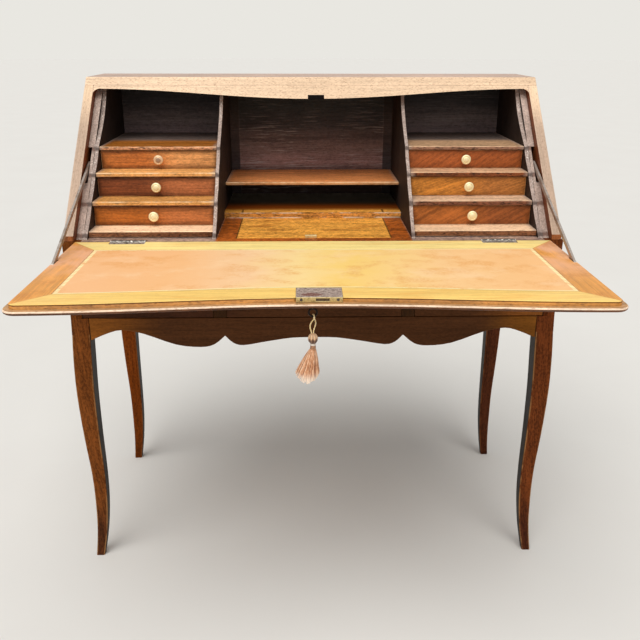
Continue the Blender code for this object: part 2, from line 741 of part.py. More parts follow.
def lock_profile(out, top, front):
    """Section of the lock as (y, t): its body, and the selvedge at the edge of the fall."""
    back, step = LOCK_D - LOCK_EDGE + out, SELVEDGE_T - LOCK_EDGE - out
    low, lip = -LOCK_T - out, -RABBET - out
    return [(back, top), (back, low), (step, low), (step, lip), (front, lip), (front, top)]


def hinge_seat(side, toward):
    """Recess for one leaf and the knuckle, in the floor (toward 1) or in the fall (toward -1)."""
    level = WRITE_Z if toward > 0 else 0.0
    deep, wide = KNUCKLE_R + GAP, HINGE_LEAF + GAP
    over, under_leaf, under_knuckle = level + REACH, level - HINGE_T - 2 * GAP, level - deep
    section = [
        (-REACH, over), (wide, over), (wide, under_leaf), (deep, under_leaf), (deep, under_knuckle),
        (-REACH, under_knuckle),
    ]
    outline = [(toward * y, z) for y, z in section]
    half = HINGE_L / 2 + GAP
    return prism(outline, "X", side * HINGE_X - half, side * HINGE_X + half)


def hinge_leaf(name, side, toward, parent, shift):
    """A leaf with its share of the knuckle: the middle one in the floor, the two outer ones in the fall."""
    half, mid = HINGE_L / 2, KNUCKLE_L / 2
    near, far = KNUCKLE_R / 2, HINGE_LEAF
    clear = KNUCKLE_R + 2 * GAP
    if toward > 0:
        outline = [
            (-half, clear), (-mid, clear), (-mid, near), (mid, near), (mid, clear), (half, clear),
            (half, far), (-half, far),
        ]
        knuckles = [(-mid, mid)]
    else:
        inner = mid + GAP
        outline = [
            (-half, near), (-inner, near), (-inner, clear), (inner, clear), (inner, near), (half, near),
            (half, far), (-half, far),
        ]
        knuckles = [(-half, -inner), (inner, half)]
    leaf = [(side * HINGE_X + x, toward * y) for x, y in outline]
    made = piece(name, prism(leaf, "Z", shift - HINGE_T - GAP, shift - GAP), STEEL, parent)
    for low, high in knuckles:
        bar = tube("X", (0.0, shift), KNUCKLE_R, side * HINGE_X + low, side * HINGE_X + high, KNUCKLE_SIDES)
        shaped(made, bar, "UNION")


def lid():
    lip_low = [
        (LIP_OVER - LIP_ROUND * (1 - math.cos(a)), -LID_THICK + LIP_ROUND * (1 - math.sin(a)))
        for a in (math.radians(90 * (1 - i / LIP_STEPS)) for i in range(LIP_STEPS + 1))
    ]
    nose = LIP_T - LIP_ROUND
    loops = [lid_ring(out, t) for out, t in lip_low]
    loops += [lid_ring(LIP_OVER - nose / 4, -RABBET - nose / 4), lid_ring(LIP_OVER - nose / 2, -RABBET)]
    loops += [lid_ring(0.0, -RABBET), lid_ring(0.0, -EDGE_SOFT), lid_ring(-EDGE_SOFT, 0.0)]
    made = piece("lid_board", rings(loops), HONEY, lid_axis, round_deg=30)
    shaped(made, prism(leather_outline(GAP), "Z", -LEATHER_T - GAP, REACH))
    x = (LOCK_X - LOCK_W / 2 - GAP, LOCK_X + LOCK_W / 2 + GAP)
    shaped(made, prism(lock_profile(GAP, REACH, -LOCK_EDGE - REACH), "X", *x))
    shaped(made, tube("Z", (KEY_X, -KEY_D), KEY_HOLE_R, -LID_THICK - REACH, -LOCK_T + GAP, WIRE_SIDES * 2))
    slot_x = (KEY_X - KEY_BIT_L - KEY_STEM_R - RUN, KEY_X)
    slot_y = (-KEY_D - KEY_BIT_T / 2 - SLIDE, -KEY_D + KEY_BIT_T / 2 + SLIDE)
    shaped(made, block(slot_x, slot_y, (-LID_THICK - REACH, -LOCK_T + GAP)))
    for side in (-1, 1):
        shaped(made, hinge_seat(side, -1))
        notch_in = STAY_X - STAY_T / 2 - STAY_NOTCH_SIDE
        notch_y = (-STAY_D - STAY_NOTCH_FREE, -STAY_D + STAY_NOTCH_HINGE)
        notch_z = (-STAY_DEEP - STAY_H / 2 - 2 * GAP, REACH)
        shaped(made, block(span(side, notch_in, LID_HALF + RUN), notch_y, notch_z))
        pin = span(side, notch_in - STAY_PIN_IN - GAP, LID_HALF)
        shaped(made, tube("X", (-STAY_D, -STAY_DEEP), STAY_PIN_R + GAP, *pin, WIRE_SIDES * 2))
    piece("leather_panel", prism(leather_outline(0.0), "Z", -LEATHER_T, 0.0), LEATHER, lid_axis)
    for end, side in (("left", -1), ("right", 1)):
        hinge_leaf(f"hinge_lid_leaf_{end}", side, -1, lid_axis, 0.0)
        hinge_leaf(f"hinge_case_leaf_{end}", side, 1, desk, WRITE_Z)


def lock():
    x = (LOCK_X - LOCK_W / 2, LOCK_X + LOCK_W / 2)
    made = piece("lock_case", prism(lock_profile(0.0, 0.0, -LOCK_EDGE), "X", *x), IRON, lid_axis)
    slot = (-BOLT_CENTRE - BOLT_T / 2 - GAP, -BOLT_CENTRE + BOLT_T / 2 + GAP)
    half = BOLT_W / 2
    back = -LOCK_EDGE + BOLT_L + GAP
    shaped(made, block((BOLT_X - half - GAP, BOLT_X + half + GAP), (-LOCK_EDGE - REACH, back), slot))
    shaped(made, tube("Z", (KEY_X, -KEY_D), KEY_WARD_R, -LOCK_T - REACH, -KEY_TIP + GAP, BOW_SIDES))
    slide = empty("lock_bolt_slide", (BOLT_X, -LOCK_EDGE, -BOLT_CENTRE), lid_axis)
    bolt = block((-half, half), (GAP, BOLT_L), (-BOLT_T / 2, BOLT_T / 2))
    piece("lock_bolt", bolt, BRASS, slide)


def key():
    """Key in the lock: a stem with a bit inside, and a ring bow under the fall."""
    turn = empty("key_turn", (KEY_X, -KEY_D, 0.0), lid_axis)
    bow_low = -BOW_T + BOW_R - BOW_WIRE / 2
    stem = tube("Z", (0.0, 0.0), KEY_STEM_R, bow_low, -KEY_TIP, WIRE_SIDES * 2)
    made = piece("key", stem, STEEL, turn, round_deg=50)
    loops = []
    for i in range(BOW_SIDES):
        a = 2 * math.pi * i / BOW_SIDES
        wire = arc(BOW_R, 0.0, BOW_WIRE, 0, 360 - 360 / WIRE_SIDES, WIRE_SIDES - 1)
        loops.append([(r * math.cos(a), y, -BOW_T + r * math.sin(a)) for r, y in wire])
    verts = [p for loop in loops for p in loop]
    faces = []
    for i in range(BOW_SIDES):
        here, there = i * WIRE_SIDES, (i + 1) % BOW_SIDES * WIRE_SIDES
        for k in range(WIRE_SIDES):
            m = (k + 1) % WIRE_SIDES
            faces.append((here + k, here + m, there + m, there + k))
    shaped(made, (verts, faces), "UNION")
    bit_x = (-KEY_BIT_L, -KEY_STEM_R / 2)
    bit = block(bit_x, (-KEY_BIT_T / 2, KEY_BIT_T / 2), (-KEY_TIP - GAP - KEY_BIT_H, -KEY_TIP - GAP))
    shaped(made, bit, "UNION")
    return turn


def stay(name, side):
    """A flat bar on a pin in the edge of the fall, with a hook at its far end."""
    at = (side * STAY_X, -STAY_D, -STAY_DEEP)
    pivot = empty(f"{name}_pivot", at, lid_axis, math.radians(STAY_OPEN_DEG))
    half = STAY_H / 2
    hook = STAY_L - STAY_HOOK_L
    outline = arc(0.0, 0.0, half, 90, 270, STAY_ROUND_STEPS)
    outline += [(hook, -half), (hook, -half - STAY_HOOK), (STAY_L, -half - STAY_HOOK), (STAY_L, half)]
    made = piece(name, prism(outline, "X", -STAY_T / 2, STAY_T / 2), STEEL, pivot)
    notch_in = -STAY_T / 2 - STAY_NOTCH_SIDE
    pin = span(side, notch_in - STAY_PIN_IN, STAY_T / 4)
    shaped(made, tube("X", (0.0, 0.0), STAY_PIN_R, *pin, WIRE_SIDES * 2), "UNION")
    head = span(side, STAY_T / 4, STAY_T / 2 + STAY_INSET)
    shaped(made, tube("X", (0.0, 0.0), STAY_HEAD_R, *head, WIRE_SIDES * 2), "UNION")


def tassel(key_axis):
    """A loop of cord through the bow, and a bead, neck and skirt of thread hanging on it."""
    pivot = empty("tassel_pivot", (0.0, 0.0, -PIVOT_T), key_axis)
    route = smooth([tuple(v / 1000 for v in p) for p in CORD_ROUTE_MM], CORD_STEPS)
    curve = bpy.data.curves.new("tassel_cord", "CURVE")
    curve.dimensions = "3D"
    curve.bevel_depth = CORD_R
    curve.bevel_resolution = 2
    curve.use_fill_caps = True
    line = curve.splines.new("POLY")
    line.points.add(len(route) - 1)
    for point, place in zip(line.points, route):
        point.co = (*place, 1.0)
    cord = bpy.data.objects.new("tassel_cord", curve)
    bpy.context.scene.collection.objects.link(cord)
    cord.parent = pivot
    curve.materials.append(finish("tassel_cord", *THREAD))
    rows = []
    for i in range(1, BEAD_STEPS):
        a = math.pi * i / BEAD_STEPS
        radius = BEAD_R * math.sin(a) ** BEAD_FULLNESS
        rows.append((BEAD_TOP + BEAD_H * (1 - math.cos(a)) / 2, radius, 0.0, 0.0))
    rows[0] = (BEAD_TOP, rows[0][1], 0.0, 0.0)
    low = BEAD_TOP + BEAD_H + NECK_H
    rows += [(low - share * NECK_H, NECK_R, 0.0, 0.0) for share in NECK_ENDS]
    for i in range(SKIRT_STEPS):
        share = i / (SKIRT_STEPS - 1)
        radius = SKIRT_TOP_R + (SKIRT_R - SKIRT_TOP_R) * share ** SKIRT_SPREAD
        rows.append((low + SKIRT_H * share, radius, SKIRT_LEAN * share ** SKIRT_BEND, SKIRT_FLUTE * share))
    loops = []
    for drop, radius, lean, flute in rows:
        loop = []
        for k in range(SKIRT_SIDES):
            a = 2 * math.pi * k / SKIRT_SIDES
            r = radius * (1 + flute * (-1) ** k)
            loop.append((lean + r * math.cos(a), r * math.sin(a), -drop))
        loops.append(loop)
    piece("tassel", rings(loops), THREAD, pivot, round_deg=50)


desk = empty("desk", (0.0, FRONT_Y, 0.0))
lid_axis = empty("lid_hinge", (0.0, 0.0, WRITE_Z), desk)
base_frame()
case_floor()
upper_case()
top_rail()
well()
for end_name, end_side in (("left", -1), ("right", 1)):
    frieze_drawer(f"frieze_drawer_{end_name}", end_side)
nest_uprights()
nest_boards()
for end_name, end_side in (("left", -1), ("right", 1)):
    small_drawer("low", end_name, end_side, BASE_TOP, LOW_ROOM, LOW_DIVIDER + DIVIDER_T)
    small_drawer("middle", end_name, end_side, LOW_DIVIDER + DIVIDER_T, MID_ROOM, MID_DIVIDER + DIVIDER_T)
    small_drawer("top", end_name, end_side, MID_DIVIDER + DIVIDER_T, TOP_ROOM, PIGEON_TOP)
lid()
lock()
tassel(key())
stay("stay_left", -1)
stay("stay_right", 1)
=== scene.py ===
"""Looks of the slant-front desk: its woods, leather and metals, its tassel, the camera and the light.

Metres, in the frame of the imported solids. Most pieces are the solids again with joined faces and
rounded, worn edges, so that every face can have its own finish; the knobs, screws, cord and tassel
are modelled here.
"""

import json
import math
import random

import bmesh
import bpy
from mathutils import Matrix, Vector

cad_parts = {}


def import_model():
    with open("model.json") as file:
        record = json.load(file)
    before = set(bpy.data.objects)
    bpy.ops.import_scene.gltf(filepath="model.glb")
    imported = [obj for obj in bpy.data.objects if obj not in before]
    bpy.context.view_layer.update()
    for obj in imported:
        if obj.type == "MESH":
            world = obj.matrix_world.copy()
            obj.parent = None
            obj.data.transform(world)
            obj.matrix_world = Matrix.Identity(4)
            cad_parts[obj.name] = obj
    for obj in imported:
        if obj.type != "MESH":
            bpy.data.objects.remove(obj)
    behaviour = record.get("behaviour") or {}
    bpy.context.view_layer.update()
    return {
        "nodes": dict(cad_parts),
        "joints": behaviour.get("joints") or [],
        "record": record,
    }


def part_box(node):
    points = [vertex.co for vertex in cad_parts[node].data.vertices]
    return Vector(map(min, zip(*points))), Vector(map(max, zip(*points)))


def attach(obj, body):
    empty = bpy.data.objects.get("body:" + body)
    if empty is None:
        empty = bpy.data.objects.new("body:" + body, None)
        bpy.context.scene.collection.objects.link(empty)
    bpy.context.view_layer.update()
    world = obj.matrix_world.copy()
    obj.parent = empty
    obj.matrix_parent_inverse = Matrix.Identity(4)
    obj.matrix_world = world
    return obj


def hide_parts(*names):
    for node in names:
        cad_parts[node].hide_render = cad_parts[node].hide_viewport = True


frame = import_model()
joints = {joint["name"]: joint for joint in frame["joints"]}
body_of_node = {
    node: body for body, nodes in frame["record"]["behaviour"]["bodies"].items() for node in nodes
}

# Camera
LENS = 42.915
SENSOR = 36.0
NEAREST, FARTHEST = 0.05, 60.0
CAMERA_PLACE = Vector((-0.0218, -1.4339, 1.0680))
CAMERA_YAW = -0.0235
CAMERA_TILT = 0.3561
CAMERA_ROLL = 0.0019

# Sizes read from the solids and joints, and a few given
HINGE_Y, HINGE_Z = joints["fall_hinge"]["pos_m"][1:]
PIVOT = Vector(joints["tassel_swing"]["pos_m"])
LEATHER_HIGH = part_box("leather_panel")[1]
LID_LOW, LID_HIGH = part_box("lid_board")
LIP_OVER = 0.0095
LID_HALF = LID_HIGH.x - LIP_OVER
LID_L = HINGE_Y - LID_LOW.y - LIP_OVER
LID_DIP = 0.0265
LEATHER_HALF = LEATHER_HIGH.x
LEATHER_BACK = HINGE_Y - LEATHER_HIGH.y
LEATHER_MARGIN = 0.0475
RABBET = 0.008
SLANT = math.radians(180 + joints["fall_hinge"]["range_deg"][0])

# Tassel cord: the loop through the key's bow, from the bead up, over and down, from the pivot
CORD_ROUTE = (
    (-0.0022, 0.0000, -0.0278), (-0.0029, -0.0008, -0.0235), (-0.0043, -0.0020, -0.0180),
    (-0.0038, -0.0033, -0.0120), (-0.0012, -0.0042, -0.0066), (0.0019, -0.0045, -0.0022),
    (0.0020, -0.0034, 0.0016), (0.0010, 0.0000, 0.0032), (0.0005, 0.0032, 0.0017),
    (0.0010, 0.0044, -0.0020), (0.0032, 0.0042, -0.0075), (0.0044, 0.0031, -0.0125),
    (0.0030, 0.0017, -0.0180), (0.0012, 0.0007, -0.0232), (0.0007, 0.0000, -0.0279),
)
CORD_D = 0.0022
CORD_PITCH = 0.0062
CORD_SIDES = 16
CORD_STEPS = 10

# Tassel below the pivot
BEAD_TOP = 0.0283
BEAD_R = 0.00768
BEAD_H = 0.0165
BEAD_HOLE_R = 0.0014
BEAD_ROWS = 18
BEAD_WRAPS = 22
WRAP_SIDES = 6
WRAP_DEPTH = 0.06
NECK_H = 0.0095
NECK_R = 0.0043
NECK_TURNS = 7
NECK_SIDES = 32
NECK_TUCK = 0.0006
NECK_RIB = 0.14
SKIRT_H = 0.0520
SKIRT_TUCK = 0.001
SKIRT_ROOT_R = 0.0040
SKIRT_TOP_R = 0.0050
SKIRT_R = 0.0182
SKIRT_LEAN = -0.0088
SKIRT_SEED = 11
SIDE_SHORTER = 0.20
INNER_LAYER = 0.62
FAN_CURVE, LEAN_CURVE = 0.85, 0.95
TASSEL_L = BEAD_TOP + BEAD_H + NECK_H + SKIRT_H
STRANDS = 46
STRAND_SIDES = 7
STRAND_STEPS = 12
STRAND_TOP_R = 0.00042
STRAND_LOW_R = 0.00135
STRAND_PITCH = 0.008
TIP_FROM = 0.94
TIP_THINNER = 0.3

# Edges
HARD_DEG = 25
FLAT_DEG = 0.1
SMOOTH_DEG = 50
MERGE = 0.00001
SEAM = 0.0005
SEAM_BACK = 0.00006


def rgb(code):
    """A colour written as in a paint chart, as linear light."""
    parts = [int(code[i:i + 2], 16) / 255 for i in (0, 2, 4)]
    return tuple(c / 12.92 if c <= 0.04045 else ((c + 0.055) / 1.055) ** 2.4 for c in parts)


NODE_STEM = "ShaderNode"


class Look:
    """A material or world being made: each method adds a node and gives back its output."""

    def __init__(self, name, kind=bpy.data.materials, shader="Principled BSDF"):
        self.material = kind.new(name)
        self.material.use_nodes = True
        self.tree = self.material.node_tree
        self.shader = self.tree.nodes[shader]
        self.place = self.add("TexCoord").outputs["Object"]

    def feed(self, socket, value):
        if isinstance(value, bpy.types.NodeSocket):
            self.tree.links.new(value, socket)
        elif socket.type == "RGBA" and len(value) == 3:
            socket.default_value = (*value, 1.0)
        else:
            socket.default_value = value

    def add(self, kind, inputs=None, **settings):
        node = self.tree.nodes.new(NODE_STEM + kind)
        for key, value in settings.items():
            setattr(node, key, value)
        for key, value in (inputs or {}).items():
            self.feed(node.inputs[key], value)
        return node

    def math(self, operation, a, b=0.0):
        return self.add("Math", {0: a, 1: b}, operation=operation).outputs[0]

    def times(self, share, *others):
        for other in others:
            share = self.math("MULTIPLY", share, other)
        return share

    def plus(self, a, *shares):
        """a and the product of the shares."""
        return self.math("ADD", a, self.times(*shares))

    def less(self, a, *shares):
        """a without the product of the shares."""
        return self.math("SUBTRACT", a, self.times(*shares))

    def apart(self, a, b):
        return self.math("ABSOLUTE", self.less(a, b))

    def tint(self, colour, code, *shares):
        """A colour with another laid over it, by the product of the shares."""
        return self.mix(self.times(*shares), colour, rgb(code))

    def patches(self, scale, low, high, *texture):
        """Ragged patches: noise that is 0 below low and 1 above high."""
        return self.step(self.noise(self.place, scale, *texture), low, high)

    def mix(self, share, a, b, blend="MIX"):
        made = self.add("Mix", {0: share, 6: a, 7: b}, data_type="RGBA", blend_type=blend)
        return made.outputs[2]

    def between(self, share, a, b):
        """A number from a to b as the share goes from 0 to 1."""
        return self.add("MapRange", {"Value": share, "To Min": a, "To Max": b}).outputs[0]

    def step(self, value, low, high):
        """0 below low, 1 above high, smooth in between; the other way round where low is above high."""
        flip = low > high
        ends = {"From Min": min(low, high), "From Max": max(low, high)}
        ends.update({"To Min": float(flip), "To Max": float(not flip)})
        return self.add("MapRange", {"Value": value, **ends}, interpolation_type="SMOOTHSTEP").outputs[0]

    def noise(self, place, scale, detail=4.0, rough=0.55, bend=0.0):
        """Cloudy noise; scale is one number, or three for noise that is drawn out."""
        if isinstance(scale, tuple):
            place = self.add("VectorMath", {0: place, 1: scale}, operation="MULTIPLY").outputs[0]
            scale = 1.0
        inputs = {"Vector": place, "Scale": scale, "Detail": detail, "Roughness": rough, "Distortion": bend}
        return self.add("TexNoise", inputs).outputs[0]

    def moved(self, shift=(0, 0, 0), turn=(0, 0, 0)):
        return self.add("Mapping", {"Vector": self.place, "Location": shift, "Rotation": turn}).outputs[0]

    def along(self, axis):
        """A place's x, y or z, or "wide", its distance from the middle plane."""
        if axis == "wide":
            return self.math("ABSOLUTE", self.along("x"))
        return self.add("SeparateXYZ", {0: self.place}).outputs["xyz".index(axis)]

    def ramp(self, share, stops):
        node = self.add("ValToRGB", {0: share})
        points = node.color_ramp.elements
        while len(points) < len(stops):
            points.new(0.5)
        for point, (at, colour) in zip(points, stops):
            point.position = at
            point.color = (*(rgb(colour) if isinstance(colour, str) else colour), 1.0)
        return node.outputs[0]

    def edge(self):
        """1 on the rounded edges of a piece, 0 on its faces."""
        return self.add("Attribute", attribute_name="edge").outputs["Fac"]

    def bump(self, height, depth, strength=0.5):
        node = self.add("Bump", {"Strength": strength, "Distance": depth, "Height": height})
        self.feed(self.shader.inputs["Normal"], node.outputs[0])

    def done(self, colour, roughness, metallic=0.0, shine=0.5, **others):
        self.feed(self.shader.inputs["Base Color"], colour)
        self.feed(self.shader.inputs["Roughness"], roughness)
        self.shader.inputs["Metallic"].default_value = metallic
        self.shader.inputs["Specular IOR Level"].default_value = shine
        for key, value in others.items():
            self.shader.inputs[key.replace("_", " ")].default_value = value
        return self.material


# How grain axes turn so that the grain runs along x
GRAIN = {"X": (0, 0, 0), "Y": (0, 0, math.pi / 2), "Z": (0, math.pi / 2, 0)}
ALONG_SLOPE = (-SLANT, 0, 0)


def grained(look, tone, grain="X", lean=(0, 0, 0), shift=0.0, fine=1.0, contrast=0.4, figure=0.3,
            pores=0.4, pore_tone="2c170d", pore_rate=110, dense=0.0, blotch=0.3, ripple=0.6):
    """Wood colour, and the height of its fibres: streaks, fibres, ripples, rings, pores and blotches."""
    turn = tuple(a + b for a, b in zip(GRAIN[grain], lean))
    place = look.moved((shift, shift * 0.7, shift * 1.3), turn)
    streaks = look.noise(place, (3.0, 75 * fine, 75 * fine), 5.0, 0.62, 0.3)
    fibres = look.noise(place, (16, 330 * fine, 330 * fine), 3.0, 0.6)
    swell = look.noise(place, (1.6, 9 * fine, 9 * fine), 2.0, 0.5, 0.6)
    rings = look.math("SINE", look.times(swell, 75.0))
    ripples = look.noise(place, (150, 290, 290), 4.0, 0.7)
    pits = look.noise(place, (pore_rate, 520 * fine, 520 * fine), 2.0, 0.5)
    flecks = look.step(pits, 0.60 - dense, 0.68 - dense)
    share = look.plus(look.times(streaks, 0.55), fibres, 0.45)
    share = look.plus(share, rings, figure * 0.06)
    share = look.plus(share, look.less(ripples, 0.5), ripple)
    dark = tuple(c * (1 - contrast) for c in tone)
    light = tuple(c * (1 + contrast) for c in tone)
    colour = look.ramp(share, [(0.36, dark), (0.50, tone), (0.64, light)])
    colour = look.tint(colour, pore_tone, flecks, pores)
    tint = look.between(look.noise(place, 6.5, 3.0, 0.5), 1 - blotch, 1 + blotch)
    grey = look.add("CombineColor", {0: tint, 1: tint, 2: tint}).outputs[0]
    colour = look.mix(1.0, colour, grey, "MULTIPLY")
    height = look.less(look.times(fibres, 0.6), flecks, 0.8)
    return colour, height


def worn_edges(look, colour, worn, amount=0.8):
    """Rubs the rounded edges through to a paler wood, in broken stretches."""
    rubbed = look.patches((26, 26, 26), 0.36, 0.60, 4.0, 0.65)
    share = look.times(look.edge(), rubbed, amount)
    return look.mix(share, colour, worn)


def toned(look, colour, tone, new_tone, along, start, end):
    """Turns one tone into another, with its grain kept, on the way from start to end."""
    change = tuple(b / a for a, b in zip(rgb(tone), rgb(new_tone)))
    return look.mix(look.step(look.along(along), start, end), colour, change, "MULTIPLY")


def greyed_ends(look, colour, low, high, grey="a58f82", reach=0.006):
    """Greys the last stretch at both ends of a board that runs from low to high along x."""
    x = look.along("x")
    inside = look.math("MINIMUM", look.less(x, low), look.less(high, x))
    ragged = look.plus(inside, look.noise(look.place, 90.0, 4.0), -0.012)
    return look.tint(colour, grey, look.step(ragged, reach, -0.006), 0.7)


def bordered(look, colour, low, high, amount, dark="2a1408", reach=0.009):
    """Darkens a drawer front unevenly towards the edges of its box, as painted shade at the gaps round it."""
    x, z = look.along("x"), look.along("z")
    side = look.math("MINIMUM", look.less(x, low.x), look.less(high.x, x))
    level = look.math("MINIMUM", look.less(z, low.z), look.less(high.z, z))
    inside = look.math("MINIMUM", side, level)
    ragged = look.plus(inside, look.noise(look.place, 60.0, 4.0), -0.006)
    return look.tint(colour, dark, look.step(ragged, reach, -0.004), amount)


def wood(name, tone, worn=None, gloss=0.45, shine=0.25, tones=(), ends=None, border=None, **grain):
    """Plain or polished wood of one tone; tones holds the changes that toned makes, in order."""
    look = Look(name)
    colour, height = grained(look, rgb(tone), **grain)
    for change in tones:
        colour = toned(look, colour, tone, *change)
    if ends:
        colour = greyed_ends(look, colour, *ends)
    if border:
        colour = bordered(look, colour, *border)
    if worn:
        colour = worn_edges(look, colour, rgb(worn))
    roughness = look.between(look.noise(look.place, 24.0, 3.0), gloss - 0.1, gloss + 0.12)
    look.bump(height, 0.0003)
    return look.done(colour, roughness, shine=shine)


def scratched(look, colour, pale, amount, grain="X"):
    """Pale scratches along and a little across the grain, in some places more than in others."""
    fine = look.step(look.noise(look.moved(turn=GRAIN[grain]), (22, 420, 420), 3.0, 0.6, 0.3), 0.56, 0.68)
    tilted = look.moved(turn=(GRAIN[grain][0], GRAIN[grain][1] + 0.03, GRAIN[grain][2]))
    long = look.step(look.noise(tilted, (9.0, 380, 380), 2.0, 0.5, 0.2), 0.60, 0.68)
    zone = look.patches(11.0, 0.36, 0.62, 3.0)
    marks = look.times(look.math("MAXIMUM", fine, long), zone)
    return look.tint(colour, pale, marks, amount)


def stained(name, tone, pale, scratches=0.4, grain="Z", gloss=0.6):
    """Dark old wood with pale scratches."""
    look = Look(name)
    colour, height = grained(look, rgb(tone), grain, contrast=0.35, figure=0.1, pores=0.3, pore_tone="050302")
    colour = scratched(look, colour, pale, scratches, grain)
    look.bump(height, 0.0003)
    return look.done(colour, look.between(look.noise(look.place, 30.0), gloss - 0.1, gloss + 0.15), shine=0.2)


def rubbed_edge(name, tone, knot, pale):
    """Front edge of an upright: wood rubbed grey, dark where each board is housed in it."""
    look = Look(name)
    colour, height = grained(look, rgb(tone), "Z", contrast=0.3, figure=0.1, pores=0.5, pore_tone="4a3830")
    colour = scratched(look, colour, pale, 0.8, "Z")
    z = look.along("z")
    for level in BOARD_LEVELS:
        away = look.apart(z, level)
        ragged = look.plus(away, look.noise(look.place, 150.0, 3.0), 0.006)
        colour = look.tint(colour, knot, look.step(ragged, 0.0085, 0.0045), 0.85)
    look.bump(height, 0.0004)
    return look.done(colour, 0.62, shine=0.25)


def back_inside():
    """Back of the case from inside: painted shade darkens it towards the top, greyer and scratched lower
    down, with two dark bands.
    """
    look = Look("back_inside")
    colour, height = grained(
        look, (0.5, 0.5, 0.5), "X", contrast=0.35, figure=0.1, pores=0.3, pore_tone="0c0806",
    )
    wide, z = look.along("wide"), look.along("z")
    span = BACK_TO - BACK_FROM
    up = look.math("DIVIDE", look.less(z, BACK_FROM), span)
    tones = []
    for stops in (BACK_CENTRE, BACK_PIGEONHOLE):
        rows = [((at - BACK_FROM) / span, tuple(2 * c for c in rgb(code))) for at, code in stops]
        tones.append(look.ramp(up, rows))
    tone = look.mix(look.step(wide, BAND_IN - 0.002, BAND_IN + 0.002), *tones)
    colour = look.mix(1.0, colour, tone, "MULTIPLY")
    rubbed = look.between(look.step(z, 0.91, 0.84), 0.1, 0.55)
    colour = scratched(look, colour, "dcd0cc", rubbed)
    band = look.times(look.step(wide, BAND_IN - 0.001, BAND_IN + 0.001), look.step(wide, 0.192, 0.19))
    colour = look.tint(colour, "1c1512", band, 0.8)
    look.bump(height, 0.0004)
    return look.done(colour, look.between(look.noise(look.place, 30.0), 0.5, 0.7), shine=0.2)


def nest_floor():
    """Top of the nest's base: gold and stained in the middle, with painted shade under the shelf, peach under
    the banks.
    """
    look = Look("nest_floor")
    colour, height = grained(
        look, rgb("e8a144"), contrast=0.45, figure=0.5, pores=0.7, pore_tone="4a2408", dense=0.02, ripple=0.9,
    )
    stain = look.patches((16, 38, 38), 0.50, 0.66, 6.0, 0.7)
    colour = look.tint(colour, "8a4510", stain, 0.62)
    y = look.along("y")
    # Painted shade: the floor darkens and reddens under the shelf.
    colour = look.tint(colour, "662e05", look.step(y, 0.165, 0.212))
    # Further back the floor turns grey and pales towards the back, as painted light against the light that
    # falls off there.
    deep = look.ramp(look.math("DIVIDE", y, 0.40), [(0.66, "4e3c28"), (0.78, "a89e8a"), (0.92, "d8d0bc")])
    colour = look.mix(look.step(y, 0.232, 0.268), colour, deep)
    wide = look.along("wide")
    joint = look.step(look.apart(wide, COVER_HALF), 0.0030, 0.0012)
    joint = look.times(joint, look.step(y, BASE_CENTRE_Y, BASE_CENTRE_Y - 0.001))
    colour = look.tint(colour, "2a1206", joint, 0.75)
    bank, bank_height = grained(look, rgb("f2cba4"), contrast=0.3, pores=0.6, pore_tone="7a523a", shift=0.6)
    bank = greyed_ends(look, bank, -NEST_HALF, NEST_HALF)
    colour = look.mix(look.step(wide, BANK_IN - 0.002, BANK_IN), colour, bank)
    look.bump(look.plus(height, bank_height), 0.0003)
    return look.done(colour, look.between(stain, 0.45, 0.65), shine=0.15)


def fall_top():
    """Inner face of the fall: straight-grained bands front and back, darker mitred bands at the ends."""
    look = Look("fall_veneer")
    honey, amber = "f7cf76", "e29c48"
    along, along_height = grained(
        look, rgb(honey), "X", contrast=0.18, pores=0.1, pore_tone="b8782c", blotch=0.1, ripple=0.25,
    )
    across, across_height = grained(
        look, rgb(amber), "Y", contrast=0.24, figure=0.4, pores=0.12, shift=0.37, pore_tone="b06a2a",
        blotch=0.2, ripple=0.2,
    )
    wide = look.along("wide")
    deep = look.less(HINGE_Y, look.along("y"))
    from_end = look.math("DIVIDE", look.less(LID_HALF, wide), LID_HALF - LEATHER_HALF)
    from_back = look.math("DIVIDE", deep, LEATHER_BACK)
    from_front = look.math("DIVIDE", look.less(LID_L, deep), LEATHER_MARGIN)
    mitre = look.less(look.math("MINIMUM", from_back, from_front), from_end)
    # Towards the hinge the long band is painted paler, as painted light to make up for the shade the case
    # casts there.
    along = toned(look, along, honey, "fce292", "y", HINGE_Y - 0.2, HINGE_Y - 0.05)
    warm = look.patches((6, 34, 34), 0.48, 0.68, 5.0, 0.65)
    along = look.tint(along, "f2b45a", warm, 0.5)
    colour = look.mix(look.step(mitre, -0.02, 0.02), along, across)
    pink = look.patches((11, 7, 7), 0.34, 0.54, 3.0)
    at_hinge = look.times(look.step(deep, 0.27, 0.12), look.step(mitre, 0.0, 0.1))
    colour = look.tint(colour, "eeb592", pink, at_hinge, 0.75)
    mottle = look.patches((30, 22, 22), 0.50, 0.68, 5.0, 0.65)
    mottle = look.times(mottle, look.step(mitre, 0.0, 0.1))
    colour = look.tint(colour, "c0782e", mottle, 0.45)
    joint = look.step(look.math("ABSOLUTE", mitre), 0.025, 0.008)
    colour = look.tint(colour, "8a4f22", joint, 0.35)
    colour = worn_edges(look, colour, rgb("f4cd92"), 0.5)
    look.bump(look.plus(along_height, across_height), 0.00015, 0.35)
    return look.done(colour, look.between(look.noise(look.place, 17.0), 0.34, 0.5), shine=0.3)


